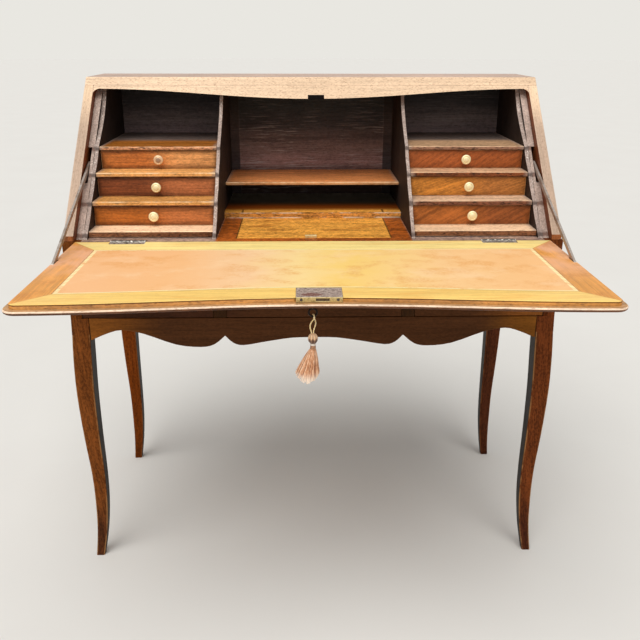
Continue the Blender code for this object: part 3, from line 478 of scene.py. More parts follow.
def leather():
    """Mottled hide, yellower in the middle, with a tooled gilt border that is a rope along the ends."""
    look = Look("leather")
    wide = look.along("wide")
    deep = look.less(HINGE_Y, look.along("y"))
    cloud = look.less(look.noise(look.place, (5.5, 9, 9), 5.0, 0.6, 0.4), 0.5)
    across = look.plus(look.along("x"), cloud, 0.16)
    across = look.plus(look.math("DIVIDE", across, 2 * LEATHER_HALF), 0.5)
    colour = look.ramp(across, [(at / (2 * LEATHER_HALF) + 0.5, code) for at, code in HIDE_TONES])
    speckle = look.noise(look.place, (240, 330, 330), 4.0, 0.7)
    patch = look.patches((17, 26, 26), 0.46, 0.62, 6.0, 0.65)
    zone = look.patches((3.1, 6, 6), 0.34, 0.54, 2.0)
    amber = look.times(patch, zone, look.step(speckle, 0.28, 0.66))
    colour = look.tint(colour, "e29a48", amber, 0.58)
    pale = look.patches((11, 14, 14), 0.50, 0.70, 5.0, 0.65)
    colour = look.tint(colour, "fddcb2", pale, 0.35)
    bow = look.math("COSINE", look.times(wide, math.pi / (2 * LID_HALF)))
    dip = look.times(look.math("POWER", bow, 2.0), LID_DIP)
    to_front = look.less(look.less(LID_L - LEATHER_MARGIN, dip), deep)
    to_back = look.less(deep, LEATHER_BACK)
    to_end = look.less(LEATHER_HALF, wide)
    to_long = look.math("MINIMUM", to_front, to_back)
    inside = look.math("MINIMUM", to_end, to_long)
    rubbed = look.patches(38.0, 0.28, 0.44, 3.0, 0.6)
    line = look.times(look.step(inside, 0.0008, 0.0014), look.step(inside, 0.0046, 0.0038))
    at_end = look.step(look.less(to_long, to_end), -0.0005, 0.0005)
    broad = look.times(look.step(to_end, 0.0010, 0.0016), look.step(to_end, 0.0076, 0.0068))
    turns = look.plus(look.math("DIVIDE", deep, ROPE_PITCH), to_end, 70.0)
    rope = look.step(look.math("SINE", look.times(turns, 2 * math.pi)), -0.35, 0.15)
    corded = look.times(broad, look.between(rope, 0.55, 1.0))
    band = look.add("Mix", {0: at_end, 2: line, 3: corded}).outputs[0]
    gilt = look.times(band, rubbed)
    colour = look.tint(colour, "fdf0b4", gilt, 0.92)
    rim = look.times(look.step(inside, 0.0011, 0.0003), 0.55)
    colour = look.tint(colour, "8b6a3a", rim)
    pebble = look.add("TexVoronoi", {"Vector": look.place, "Scale": 620.0}).outputs["Distance"]
    creases = look.noise(look.place, 140.0, 4.0, 0.6)
    height = look.less(look.plus(look.times(pebble, 0.6), creases), band)
    look.bump(height, 0.0002, 0.4)
    return look.done(colour, look.between(creases, 0.42, 0.62), shine=0.3)


def metal(name, base, tarnish, bright, spots=0.5, scale=60.0, gloss=0.36, brushed=(900.0, 900.0, 900.0),
          edge=0.7, metallic=1.0, shine=0.5, spot=None):
    """Old metal: a dull film in patches, fine scratches, rubbed bright edges, and a worn spot on a knob; on
    the stays the bright edges are also a painted highlight.
    """
    look = Look(name)
    film = look.noise(look.place, scale, 5.0, 0.65)
    colour = look.tint(rgb(base), tarnish, look.step(film, 0.46, 0.66), spots)
    lines = look.noise(look.place, brushed, 3.0, 0.6)
    colour = look.tint(colour, bright, look.step(lines, 0.55, 0.7), 0.25)
    colour = look.tint(colour, bright, look.edge(), edge)
    if spot:
        (low, high), radius, tone = spot
        off_x = look.less(look.along("x"), (low.x + high.x) / 2)
        off_z = look.less(look.along("z"), (low.z + high.z) / 2)
        away = look.math("SQRT", look.plus(look.math("POWER", off_x, 2.0), look.math("POWER", off_z, 2.0)))
        colour = look.tint(colour, tone, look.step(away, radius, radius * 0.8), 0.8)
    look.bump(look.plus(lines, film), 0.00012, 0.3)
    roughness = look.between(film, gloss - 0.08, gloss + 0.22)
    return look.done(colour, roughness, metallic, shine=shine)


def hinge_steel():
    """Steel of the hinges: each knuckle painted dark between pale ends, as painted shade on the barrel."""
    look = Look("hinge_steel")
    skin = look.noise(look.place, 260.0, 4.0, 0.65)
    colour = look.ramp(skin, [(0.34, "6a625c"), (0.50, "a0988f"), (0.66, "dcd6ce")])
    from_middle = look.less(look.along("wide"), HINGE_FROM)
    part = look.math("FRACT", look.math("DIVIDE", from_middle, KNUCKLE_L))
    off_middle = look.apart(part, 0.5)
    on_barrel = look.step(look.along("z"), HINGE_Z + 0.0010, HINGE_Z + 0.0016)
    dark = look.times(look.step(off_middle, 0.40, 0.33), on_barrel)
    colour = look.tint(colour, "2b2725", dark, 0.8)
    look.bump(skin, 0.0002, 0.4)
    return look.done(colour, look.between(skin, 0.5, 0.34), 0.7)


def lock_iron():
    """Iron face of the lock: grey-violet mill skin, scratched, with a patch of rust."""
    look = Look("lock_iron")
    skin = look.noise(look.place, (190, 420, 420), 6.0, 0.75)
    colour = look.ramp(skin, [(0.36, "4f3f3a"), (0.50, "a08a80"), (0.62, "dccbbd")])
    low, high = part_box("lock_case")
    centre = (low + high) / 2
    away_x = look.math("DIVIDE", look.less(look.along("x"), centre.x - 0.012), 0.019)
    away_y = look.math("DIVIDE", look.less(look.along("y"), centre.y - 0.010), 0.009)
    away = look.plus(look.math("POWER", away_x, 2.0), look.math("POWER", away_y, 2.0))
    ragged = look.plus(away, look.noise(look.place, 240.0, 5.0, 0.7), 2.6)
    colour = look.tint(colour, "70392c", look.step(ragged, 2.3, 1.7), 0.85)
    bright = look.patches((330, 900, 900), 0.60, 0.68, 3.0)
    colour = look.tint(colour, "efe2d4", bright, 0.7)
    look.bump(skin, 0.0003, 0.5)
    return look.done(colour, look.between(skin, 0.62, 0.40), 0.2)


def yarn(name, shade, middle, shine, fibres, tones=()):
    """Silky yarn: fine fibres along the strand and paler crests; tones are changes with height."""
    look = Look(name)
    fibre = look.noise(look.place, fibres, 4.0, 0.6)
    soft = look.noise(look.place, 130.0, 3.0)
    share = look.plus(look.times(fibre, 0.7), soft, 0.3)
    colour = look.ramp(share, [(0.32, shade), (0.50, middle), (0.66, shine)])
    for tone, start, end, amount in tones:
        below = look.less(PIVOT.z, look.along("z"))
        colour = look.tint(colour, tone, look.step(below, start, end), amount)
    look.bump(fibre, 0.0003, 0.6)
    return look.done(colour, look.between(soft, 0.55, 0.8), Sheen_Weight=0.2, Sheen_Roughness=0.4)


def bead_yarn():
    """Wrapped bead: peach and brown turns side by side, paler above as painted light and browner below as
    painted shade.
    """
    look = Look("bead_yarn")
    x = look.less(look.along("x"), PIVOT.x)
    y = look.less(look.along("y"), PIVOT.y)
    angle = look.math("ARCTAN2", y, x)
    turn = look.math("SINE", look.times(angle, BEAD_STRIPES))
    fibre = look.noise(look.place, (900, 900, 90), 3.0)
    share = look.plus(turn, fibre, 0.8)
    colour = look.tint(rgb("5e3218"), "e8b98c", look.step(share, -0.2, 0.9))
    below = look.less(PIVOT.z, look.along("z"))
    high = look.step(below, BEAD_TOP + BEAD_H * 0.50, BEAD_TOP + BEAD_H * 0.30)
    colour = look.tint(colour, "f2cda4", high, 0.5)
    low = look.step(below, BEAD_TOP + BEAD_H * 0.42, BEAD_TOP + BEAD_H * 0.62)
    colour = look.tint(colour, "4a220c", low, 0.8)
    look.bump(fibre, 0.0003, 0.6)
    return look.done(colour, 0.6, Sheen_Weight=0.2)


def floor_finish():
    look = Look("studio_floor")
    speck = look.noise(look.place, 3.0, 4.0)
    return look.done(look.tint(rgb("dbd9d5"), "e0dfdb", speck), 0.85)


# Places that finishes change at
BOARD_LEVELS = (0.7113, 0.7613, 0.8093, 0.8553)
BAND_IN = 0.167
BACK_FROM, BACK_TO = 0.76, 0.96
# Tones of the back by height, for the centre and the pigeonholes: both darken towards the top as painted
# shade under the top board; the centre is also darker at its foot.
BACK_CENTRE = ((0.765, "5c4640"), (0.790, "a7837e"), (0.820, "8e7774"), (0.870, "463f40"), (0.915, "2b2c2d"))
BACK_PIGEONHOLE = ((0.865, "a08c8c"), (0.890, "7c6f6c"), (0.925, "3c3736"), (0.950, "2e2b2a"))
COVER_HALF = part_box("well_cover")[1].x
BASE_CENTRE_Y = 0.195
ROPE_PITCH = 0.0205
HIDE_TONES = (
    (-0.36, "f5bd87"), (-0.24, "f5be85"), (-0.13, "f7cb9a"), (-0.03, "f9da97"), (0.05, "f8d177"),
    (0.14, "f8d189"), (0.22, "f7cb90"), (0.36, "f6c185"),
)
BEAD_STRIPES = 9
HINGE_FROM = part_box("hinge_lid_leaf_right")[0].x
KNUCKLE_L = (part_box("hinge_lid_leaf_right")[1].x - HINGE_FROM) / 5
BANK_IN = 0.19
NEST_HALF = 0.4303
FILLER_IN = 0.4407
DRAWER_FRONT_T = 0.009
LEG_CORNER_TO = 0.52
FRONT_T = 0.004
VENEER_T = 0.0025
SELVEDGE_T = 0.0024

# Finishes
frame_rail = wood(
    "frame_rail", "eccdac", "f6dcc0", tones=[("e3c4a3", "x", -0.3, 0.0)], pore_tone="8a5a40", pore_rate=190,
    fine=1.3, pores=0.5, contrast=0.16, dense=0.04, blotch=0.1, ripple=0.5,
)
frame_side = wood(
    "frame_side", "bca18b", "e0c8b2", grain="Y", lean=ALONG_SLOPE, pores=0.45, pore_tone="7a5544",
    pore_rate=190, contrast=0.16, blotch=0.15, tones=[("ecccaa", "z", 0.88, 0.965)],
)
frame_inner = wood(
    "frame_inner", "783f20", grain="Y", lean=ALONG_SLOPE, pores=0.8, pore_tone="2a1810", contrast=0.5,
)
case_top = wood("case_top", "c2a08a", "e4cbb8", contrast=0.3, gloss=0.35, shine=0.5)
side_outside = wood("side_outside", "7a4a26", "a87a48", grain="Y", contrast=0.45, figure=0.8)
side_foot = wood("side_foot", "9e5b2d", grain="Z", pores=0.8, contrast=0.4)
leg_wood = wood(
    "leg_wood", "703d17", "a87a4c", grain="Z", lean=(0, 0.12, 0), contrast=0.42, pores=0.5, fine=1.5,
    pore_tone="2a1206", shine=0.05, gloss=0.55, ripple=0.9,
    tones=[("4e2a15", "z", 0.16, 0.05), ("6a3516", "x", 0.0, 0.1)],
)
rear_leg_wood = wood(
    "rear_leg_wood", "6b330d", "8a5630", grain="Z", contrast=0.42, pores=0.6, fine=1.4, shift=0.4,
    pore_tone="2a0f06", shine=0.03, gloss=0.6, ripple=0.9, tones=[("512a18", "x", -0.1, 0.1)],
)
# Inner faces of the legs: painted shade, dark as they are out of the light.
leg_inner = wood("leg_inner", "2a2521", grain="Z", contrast=0.3, gloss=0.6)
# The apron is painted dark in the middle as the shade of the open fall, and paler towards its ends where
# light reaches.
apron_wood = wood(
    "apron_wood", "59361e", "6c4426", contrast=0.25, pores=0.3, shine=0.05, gloss=0.6, blotch=0.2,
    tones=[("8a521f", "x", -0.28, -0.42), ("86521c", "x", 0.32, 0.42)],
)
stile_wood = wood("stile_wood", "40260f", "54341c", grain="Z", contrast=0.25, shine=0.08, gloss=0.6)
# The frieze fronts are painted dark as the shade under the open fall, lighter from the middle rightwards and
# palest at the right end where light reaches.
frieze_wood = wood(
    "frieze_wood", "46291a", "5a3820", contrast=0.3, figure=0.6, shine=0.05, gloss=0.6,
    tones=[("57351e", "x", -0.2, -0.1), ("71411f", "x", 0.30, 0.42)],
)
lining = wood("drawer_lining", "b68a58", "d8b78a", grain="Y", contrast=0.25, gloss=0.6)
back_outside = wood("back_outside", "94703f", "bb9a6c", grain="Z", contrast=0.3, gloss=0.65, fine=0.7)
case_floor_wood = wood(
    "case_floor_wood", "a35218", "b87838", contrast=0.55, pores=0.8, dense=0.03, ripple=1.0,
    tones=[("a88a78", "wide", 0.184, 0.19)],
)
floor_front = wood("floor_front", "5e3820", "7a5230", contrast=0.35, pores=0.4, shine=0.1, gloss=0.55)
strip_edge = wood("strip_edge", "c98b41", "fff0dc", contrast=0.45, pores=0.7, ripple=0.9)
base_front = wood("base_front", "865638", "c09a7a", contrast=0.55, pores=0.8, dense=0.03, ripple=1.0)
nest_wood = nest_floor()
back_wood = back_inside()
interior = stained("interior", "2a2320", "7c6a60", 0.35, "X")
upright_dark = stained("upright_dark", "2c211c", "6f6055", 0.3, "Z")
upright_edge = rubbed_edge("upright_edge", "a8948a", "4a3a34", "efe4da")
filler_edge = rubbed_edge("filler_edge", "b09a8e", "6a4c40", "dccabd")
fall_veneer = fall_top()
fall_edge = wood(
    "fall_edge", "b87a36", "c89050", contrast=0.3, fine=1.2, pores=0.6, pore_tone="5a3414",
    tones=[("5e340a", "z", HINGE_Z - 0.0030, HINGE_Z - 0.0019)],
)
fall_ledge = wood("fall_ledge", "b98f63", contrast=0.3, fine=1.2, pores=0.6, pore_tone="5a3414")
# The lip darkens towards its lower edge as painted shade under its rounding.
fall_lip = wood(
    "fall_lip", "f6d8bc", contrast=0.2, fine=1.2, pores=0.5, pore_tone="8a5c3a",
    tones=[("80644e", "z", HINGE_Z - RABBET - 0.0030, HINGE_Z - RABBET - 0.0046)],
)
fall_outside = wood("fall_outside", "6b4023", "8a5a34", contrast=0.45, figure=0.9, shift=0.9)
hide = leather()
brass = metal("old_brass", "f2dc9c", "c8a860", "fff6d4", 0.5, 90.0, metallic=0.5)
selvedge_brass = metal("selvedge_brass", "d8c184", "8a7342", "f2e2ac", 0.7, 260.0, 0.42, metallic=0.7)
knob_brass = metal("knob_brass", "f8eabc", "e6cb98", "fff8e0", 0.4, 220.0, 0.42, metallic=0.35)
knob_copper = metal(
    "knob_copper", "e8c8a0", "b08c70", "f6e2c8", 0.5, 160.0, 0.42, metallic=0.35,
    spot=(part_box("top_knob_left"), 0.0056, "8a6a58"),
)
# The stays' white edges are partly rubbed steel and partly a painted highlight.
stay_steel = metal(
    "stay_steel", "b4a89e", "7a6454", "ffffff", 0.75, 38.0, 0.36, (60.0, 60.0, 900.0), 0.9, metallic=0.6,
)
key_steel = metal("key_steel", "2c211a", "18110d", "5a4a3e", 0.6, 120.0, 0.5, metallic=0.4, shine=0.2)
screw_steel = metal("screw_steel", "6a625c", "2f2824", "a8a098", 0.6, 300.0, 0.4)
strike_iron = metal("strike_iron", "0e0907", "060403", "241a15", 0.6, 200.0, 0.7, metallic=0.0, shine=0.05)
bolt_iron = metal("bolt_iron", "5f4c38", "2c2018", "b09a70", 0.7, 240.0, 0.5, metallic=0.6)
hinge = hinge_steel()
iron = lock_iron()
bead_thread = bead_yarn()
neck_thread = yarn(
    "neck_yarn", "70452c", "a8744f", "d8b694", (120, 120, 1500),
    [("f6ecdf", BEAD_TOP + BEAD_H + 0.0032, BEAD_TOP + BEAD_H + 0.0022, 0.85)],
)
SKIRT_TONES = (
    ("pale", "b67c54", "e6b48c", "f8dcc0"),
    ("salmon", "8e5632", "cc8e64", "eec49e"),
    ("brown", "5e3218", "a06440", "cf9870"),
)
SKIRT_FIBRES = (650, 650, 40)
PALE_TIPS = [("fff2e0", TASSEL_L - 0.020, TASSEL_L - 0.004, 0.7)]
skirt_threads = [yarn(f"skirt_yarn_{name}", *tones, SKIRT_FIBRES, PALE_TIPS) for name, *tones in SKIRT_TONES]
cord_thread = yarn("cord_yarn", "b48a44", "fbdc9c", "fffbe6", (600, 600, 300))

# Drawer veneers: tone at the left, tone at the right, shift and lean of the grain, and how dark its border
# is; the dark border is painted shade at the gaps, and on the right bank the paler left tone is painted light
DRAWER_LOOKS = {
    "low_drawer_left": ("b26526", "c47642", 0.0, 0.0, 0.7),
    "middle_drawer_left": ("824626", "b46d42", 1.1, 0.0, 0.7),
    "top_drawer_left": ("bd7034", "e0a062", 2.3, 0.0, 0.7),
    "low_drawer_right": ("aa622c", "8c4e26", 3.4, 0.5, 0.3),
    "middle_drawer_right": ("ca8234", "bc783a", 4.6, 0.35, 0.3),
    "top_drawer_right": ("a4582a", "a65828", 5.2, 0.6, 0.35),
}

# Boards of the banks: tone of the top and of the front edge, and how far round the edge the top's tone goes;
# the divider tops are made pale as painted light, against the shade of the drawers above
BOARD_LOOKS = {
    "pigeonhole_shelf_left": ("9d5d1e", "c8906a", 0.5),
    "pigeonhole_shelf_right": ("b8926f", "8a6450", 0.5),
    "upper_divider_left": ("dc9f5c", "774023", -0.15),
    "upper_divider_right": ("caa07c", "7c4322", 0.45),
    "lower_divider_left": ("d99a54", "783c24", -0.15),
    "lower_divider_right": ("d2ae8e", "744733", 0.45),
}


def dress(node, looks, soft=0.0008, steps=2, nose=False, close_top=False, keep=None):
    """A solid again, with joined flat faces and rounded edges.

    looks holds (material, rule) pairs; a face takes the first whose rule accepts its middle and normal,
    and a material without a rule takes the rest.
    With nose, only the long front edges are rounded, as on a board; keep names edges that stay sharp.
    With close_top the piece reaches up to the one above it.
    """
    looks = [look if isinstance(look, tuple) else (look, anything) for look in looks]
    shape = bmesh.new()
    shape.from_mesh(frame["nodes"][node].data)
    bmesh.ops.remove_doubles(shape, verts=shape.verts, dist=MERGE)
    bmesh.ops.dissolve_limit(shape, angle_limit=math.radians(FLAT_DEG), verts=shape.verts, edges=shape.edges)
    marked = shape.faces.layers.float.new("edge")
    if close_top:
        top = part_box(node)[1].z
        for vert in shape.verts:
            if vert.co.z > top - MERGE:
                vert.co += Vector((0.0, SEAM / math.tan(SLANT) + SEAM_BACK, SEAM))
    hard = math.radians(HARD_DEG)
    edges = [e for e in shape.edges if len(e.link_faces) == 2 and e.calc_face_angle(0.0) > hard]
    if nose:
        edges = [e for e in edges if is_nose(e)]
    if keep:
        edges = [e for e in edges if not keep(e)]
    if soft:
        made = bmesh.ops.bevel(
            shape, geom=edges, offset=soft, offset_type="OFFSET", segments=steps, profile=0.5,
            affect="EDGES", clamp_overlap=True,
        )
        for face in made["faces"]:
            face[marked] = 1.0
    shape.normal_update()
    for face in shape.faces:
        middle = face.calc_center_median()
        for index, (_, rule) in enumerate(looks):
            if rule(middle, face.normal):
                face.material_index = index
                break
    mesh = bpy.data.meshes.new(f"{node}_finished")
    shape.to_mesh(mesh)
    shape.free()
    for look, _ in looks:
        mesh.materials.append(look)
    return settle(f"{node}_finished", mesh, body_of_node[node], node)


def is_nose(edge):
    """Whether an edge runs along x and borders a face that looks forwards."""
    run = edge.verts[1].co - edge.verts[0].co
    return abs(run.x) > 0.9 * run.length and any(face.normal.y < -0.9 for face in edge.link_faces)


def put(name, data):
    """A new object in the scene."""
    made = bpy.data.objects.new(name, data)
    bpy.context.scene.collection.objects.link(made)
    return made


def settle(name, mesh, body, node=None, smooth=SMOOTH_DEG):
    """Puts a finished mesh in the scene, riding on a body, in place of a solid if one is named."""
    mesh.shade_smooth()
    mesh.set_sharp_from_angle(angle=math.radians(smooth))
    made = put(name, mesh)
    even = made.modifiers.new("even shading", "WEIGHTED_NORMAL")
    even.keep_sharp = True
    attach(made, body)
    if node:
        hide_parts(node)
    return made


def anything(middle, normal):
    return True


def facing(axis, sign, least=0.6):
    """A rule that accepts faces that look one way along an axis."""
    return lambda middle, normal: normal[axis] * sign > least


def at_front(middle, normal):
    return middle.y < HINGE_Y + FRONT_T


def slanting(middle, normal):
    return normal.y < -0.3 and normal.z > 0.3


def not_a_leg_corner(edge):
    """Accepts the edges of a leg that stay sharp: all but its long corners below the rails."""
    run = edge.verts[1].co - edge.verts[0].co
    return abs(run.z) < 0.8 * run.length or max(v.co.z for v in edge.verts) > LEG_CORNER_TO


def at_level(z):
    """A rule that accepts edges at one height."""
    return lambda edge: all(abs(v.co.z - z) < SEAM * 2 for v in edge.verts)


def dress_case():
    seam_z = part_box("top_board")[0].z
    for end, sign in (("left", -1), ("right", 1)):
        dress(f"side_panel_{end}", [
            (frame_side, slanting),
            (side_foot, lambda middle, normal: normal.y < -0.6),
            (frame_inner, facing(0, -sign)),
            side_outside,
        ], 0.0008, close_top=True, keep=at_level(seam_z))
        dress(f"side_rail_{end}", [side_outside], 0.0012)
        dress(f"frieze_stile_{end}", [stile_wood], 0.0006)
        for place, look in (("front", leg_wood), ("rear", rear_leg_wood)):
            dress(f"leg_{place}_{end}", [
                (leg_inner, facing(0, -sign, 0.9)),
                look,
            ], 0.0009, keep=not_a_leg_corner)
        dress(f"frieze_drawer_{end}", [(frieze_wood, at_front), lining])
    dress("top_board", [(frame_rail, slanting), case_top], 0.0014, keep=at_level(seam_z))
    dress("top_rail", [(frame_rail, slanting), frame_inner], 0.0005, close_top=True, keep=at_level(seam_z))
    dress("back_board", [(back_wood, facing(1, -1)), back_outside])
    dress("front_apron", [apron_wood])
    dress("centre_front", [frieze_wood])
    dress("dust_board", [lining], 0.0006)
    dress("well_box", [lining], 0.0006)
    dress("case_floor", [(floor_front, at_front), case_floor_wood], 0.0005)
    dress("strike_plate", [strike_iron], 0.0003)


def dress_interior():
    dress("nest_base", [
        (nest_wood, facing(2, 1, 0.6)),
        (strip_edge, lambda middle, normal: normal.y < -0.3 and abs(middle.x) < BANK_IN),
        (base_front, facing(1, -1, 0.75)),
        (nest_wood, facing(2, 1, 0.1)),
        interior,
    ], 0.0022, 3, nose=True)
    dress("centre_shelf", [
        (wood("shelf_edge", "c08a58", "e8c69c", contrast=0.35, pores=0.6), facing(1, -1, 0.5)),
        (wood("shelf_top", "d9894f", "e8b484", contrast=0.4, ends=(-0.187, 0.187)), facing(2, 1, 0.2)),
        interior,
    ], 0.0016, 3, nose=True)
    dress("well_cover", [nest_wood], 0.0006)
    dress("well_pull", [brass], 0.0003)
    for node, (top_tone, edge_tone, top_to) in BOARD_LOOKS.items():
        low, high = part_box(node)
        ends = (low.x, high.x)
        # Towards the back each top turns grey as painted shade at the back of the shelf; the pale rubbed
        # rounding of each nose is wear and also a painted highlight.
        top = wood(
            f"{node}_top", top_tone, "f4d2a6", contrast=0.4, pores=0.6, dense=0.02, ends=ends,
            shift=high.z * 3, ripple=0.8, tones=[("74665f", "y", 0.21, 0.26)],
        )
        edge = wood(
            f"{node}_edge", edge_tone, contrast=0.55, pores=0.8, dense=0.04, ends=ends, shift=high.z * 5,
            ripple=1.0, pore_tone="24120a",
        )
        dress(node, [(top, facing(2, 1, top_to)), (edge, facing(1, -1, 0.1)), interior], 0.0028, 5, nose=True)
    for end in ("left", "right"):
        dress(f"partition_{end}", [(upright_edge, facing(1, -1, 0.25)), upright_dark], 0.0010)
        dress(f"nest_side_{end}", [
            (filler_edge, lambda middle, normal: normal.y < -0.25 and abs(middle.x) > FILLER_IN),
            (upright_edge, facing(1, -1, 0.25)),
            upright_dark,
        ], 0.0010)
    for node, (left_tone, right_tone, shift, lean, border) in DRAWER_LOOKS.items():
        low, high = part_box(node)
        span = high.x - low.x
        veneer = wood(
            f"{node}_veneer", left_tone, "d8a878", contrast=0.36, figure=0.4, shift=shift, lean=(0, lean, 0),
            fine=1.7, ripple=0.6, pores=0.3,
            tones=[(right_tone, "x", low.x + span * 0.35, high.x - span * 0.3)], border=(low, high, border),
        )
        front = low.y + DRAWER_FRONT_T
        dress(node, [(veneer, lambda middle, normal, front=front: middle.y < front), lining])


def dress_fall():
    ledge = HINGE_Z - RABBET
    dress("lid_board", [
        (fall_veneer, lambda middle, normal: normal.z > 0.3 and middle.z > HINGE_Z - VENEER_T),
        (fall_edge, lambda middle, normal: middle.z > ledge + 0.0002),
        (fall_ledge, facing(2, 1, 0.9)),
        (fall_lip, facing(2, 1, -0.12)),
        fall_outside,
    ], 0.0)
    dress("leather_panel", [hide], 0.0)
    edge_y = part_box("lock_case")[0].y
    dress("lock_case", [
        (selvedge_brass, lambda middle, normal: middle.y < edge_y + SELVEDGE_T),
        iron,
    ], 0.0003)
    dress("lock_bolt", [bolt_iron], 0.0004)
    dress("key", [key_steel], 0.0)
    for end in ("left", "right"):
        dress(f"stay_{end}", [stay_steel], 0.0005)
        dress(f"hinge_lid_leaf_{end}", [hinge], 0.0002)
        dress(f"hinge_case_leaf_{end}", [hinge], 0.0002)


def ring_faces(rows, sides):
    """Faces of a closed tube whose vertices stand in rows, one row after the other."""
    faces = []
    for low in range(0, (rows - 1) * sides, sides):
        for i in range(sides):
            j = (i + 1) % sides
            faces.append((low + i, low + j, low + sides + j, low + sides + i))
    return faces + [tuple(range(sides))[::-1], tuple(range((rows - 1) * sides, rows * sides))]


def lathe(profile, sides):
    """Vertices turned about y from rows of y and radius."""
    verts = []
    for y, radius in profile:
        for i in range(sides):
            a = 2 * math.pi * i / sides
            verts.append(Vector((radius * math.cos(a), y, radius * math.sin(a))))
    return verts


def curve_through(points, steps):
    """Points on a smooth curve through the given ones."""
    held = [points[0], *points, points[-1]]
    found = []
    for a, b, c, d in zip(held, held[1:], held[2:], held[3:]):
        for i in range(steps):
            u = i / steps
            point = []
            for p, q, r, s in zip(a, b, c, d):
                bend = (2 * p - 5 * q + 4 * r - s) * u ** 2 + (3 * q - p - 3 * r + s) * u ** 3
                point.append(q + ((r - p) * u + bend) / 2)
            found.append(tuple(point))
    found.append(tuple(points[-1]))
    return found


def mesh_of(name, verts, faces, looks):
    mesh = bpy.data.meshes.new(name)
    mesh.from_pydata([tuple(v) for v in verts], [], faces)
    for look in looks:
        mesh.materials.append(look)
    return mesh


def closed_mesh(name, verts, faces, look):
    """A mesh with its points joined and its faces turned outwards."""
    mesh = mesh_of(name, verts, faces, [look])
    shape = bmesh.new()
    shape.from_mesh(mesh)
    bmesh.ops.remove_doubles(shape, verts=shape.verts, dist=MERGE / 10)
    bmesh.ops.recalc_face_normals(shape, faces=shape.faces)
    shape.to_mesh(mesh)
    shape.free()
    return mesh


def join(verts, faces, more_verts, more_faces):
    """Adds one shape's vertices and faces to another's."""
    faces += [tuple(i + len(verts) for i in face) for face in more_faces]
    verts += more_verts


# Knobs: distance out from the drawer front and radius, from the foot to the dimpled face
KNOB_SIDES = 48
KNOB_ROWS = (
    (0.0000, 0.0058), (0.0004, 0.0062), (0.0012, 0.0062), (0.0020, 0.0050), (0.0034, 0.0041),
    (0.0052, 0.0042), (0.0068, 0.0064), (0.0080, 0.0088), (0.0090, 0.0097), (0.0103, 0.0098),
    (0.0116, 0.0093), (0.0126, 0.0081), (0.0129, 0.0070), (0.0122, 0.0064), (0.0128, 0.0057),
    (0.0136, 0.0040), (0.0140, 0.0018), (0.0141, 0.0001),
)


def knobs():
    for end in ("left", "right"):
        for level in ("low", "middle", "top"):
            node = f"{level}_knob_{end}"
            low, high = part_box(node)
            at = Vector(((low.x + high.x) / 2, high.y, (low.z + high.z) / 2))
            rows = [(-out, radius) for out, radius in curve_through(KNOB_ROWS, 3)]
            verts = [v + at for v in lathe(rows, KNOB_SIDES)]
            look = knob_copper if node == "top_knob_left" else knob_brass
            mesh = closed_mesh(node, verts, ring_faces(len(rows), KNOB_SIDES), look)
            settle(f"{node}_turned", mesh, body_of_node[node], node)


# Screws: a countersunk head with a slot
SCREW_R = 0.0023
SCREW_SLOT = 0.00055
SCREW_PROUD = 0.00012
SCREW_STEPS = 12
SCREW_IN = 0.0058
SCREW_SUNK = 0.0003
SCREW_SHARES = (0.14, 0.5, 0.86)


def screw(at, up, slot_turn):
    """Two half heads either side of a slot, over a lower disc, as vertices and faces."""
    verts, faces = [], []
    across = Matrix.Rotation(slot_turn, 3, "Z")
    stand = up.to_track_quat("Z", "Y").to_matrix()

    def plate(outline, low, high):
        start = len(verts)
        count = len(outline)
        for z, shrink in ((low, 1.0), (high, 0.94)):
            verts.extend(at + stand @ across @ Vector((x * shrink, y * shrink, z)) for x, y in outline)
        faces.append(tuple(start + count + i for i in range(count)))
        faces.append(tuple(start + i for i in range(count))[::-1])
        for i in range(count):
            j = (i + 1) % count
            faces.append((start + i, start + j, start + count + j, start + count + i))

    open_angle = math.asin(SCREW_SLOT / 2 / SCREW_R)
    for side in (0.0, math.pi):
        angles = [
            side + open_angle + (math.pi - 2 * open_angle) * i / SCREW_STEPS for i in range(SCREW_STEPS + 1)
        ]
        plate([(SCREW_R * math.cos(a), SCREW_R * math.sin(a)) for a in angles], -SCREW_PROUD, SCREW_PROUD)
    ring = [2 * math.pi * i / (2 * SCREW_STEPS) for i in range(2 * SCREW_STEPS)]
    floor = [(SCREW_R * 0.96 * math.cos(a), SCREW_R * 0.96 * math.sin(a)) for a in ring]
    plate(floor, -2 * SCREW_PROUD, SCREW_PROUD / 4)
    return verts, faces


def screws(name, places, body):
    verts, faces = [], []
    for place in places:
        join(verts, faces, *screw(*place))
    mesh = mesh_of(name, verts, faces, [screw_steel])
    settle(name, mesh, body)


def all_screws():
    """Three in each hinge leaf, and two in the lock's selvedge."""
    for body, leaf in (("case", "hinge_case_leaf"), ("fall", "hinge_lid_leaf")):
        places = []
        for k, end in enumerate(("left", "right")):
            low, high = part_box(f"{leaf}_{end}")
            y = high.y - SCREW_IN if body == "case" else low.y + SCREW_IN
            for i, share in enumerate(SCREW_SHARES):
                at = Vector((low.x + (high.x - low.x) * share, y, HINGE_Z - SCREW_SUNK))
                places.append((at, Vector((0, 0, 1)), 0.5 + 0.9 * i + 0.4 * k))
        screws(f"hinge_screws_{body}", places, body)
    low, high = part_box("lock_case")
    z = HINGE_Z - RABBET / 2
    places = [
        (Vector((low.x + 0.008, low.y, z)), Vector((0, -1, 0)), 0.7),
        (Vector((high.x - 0.007, low.y, z)), Vector((0, -1, 0)), 2.0),
    ]
    screws("selvedge_screws", places, "fall")


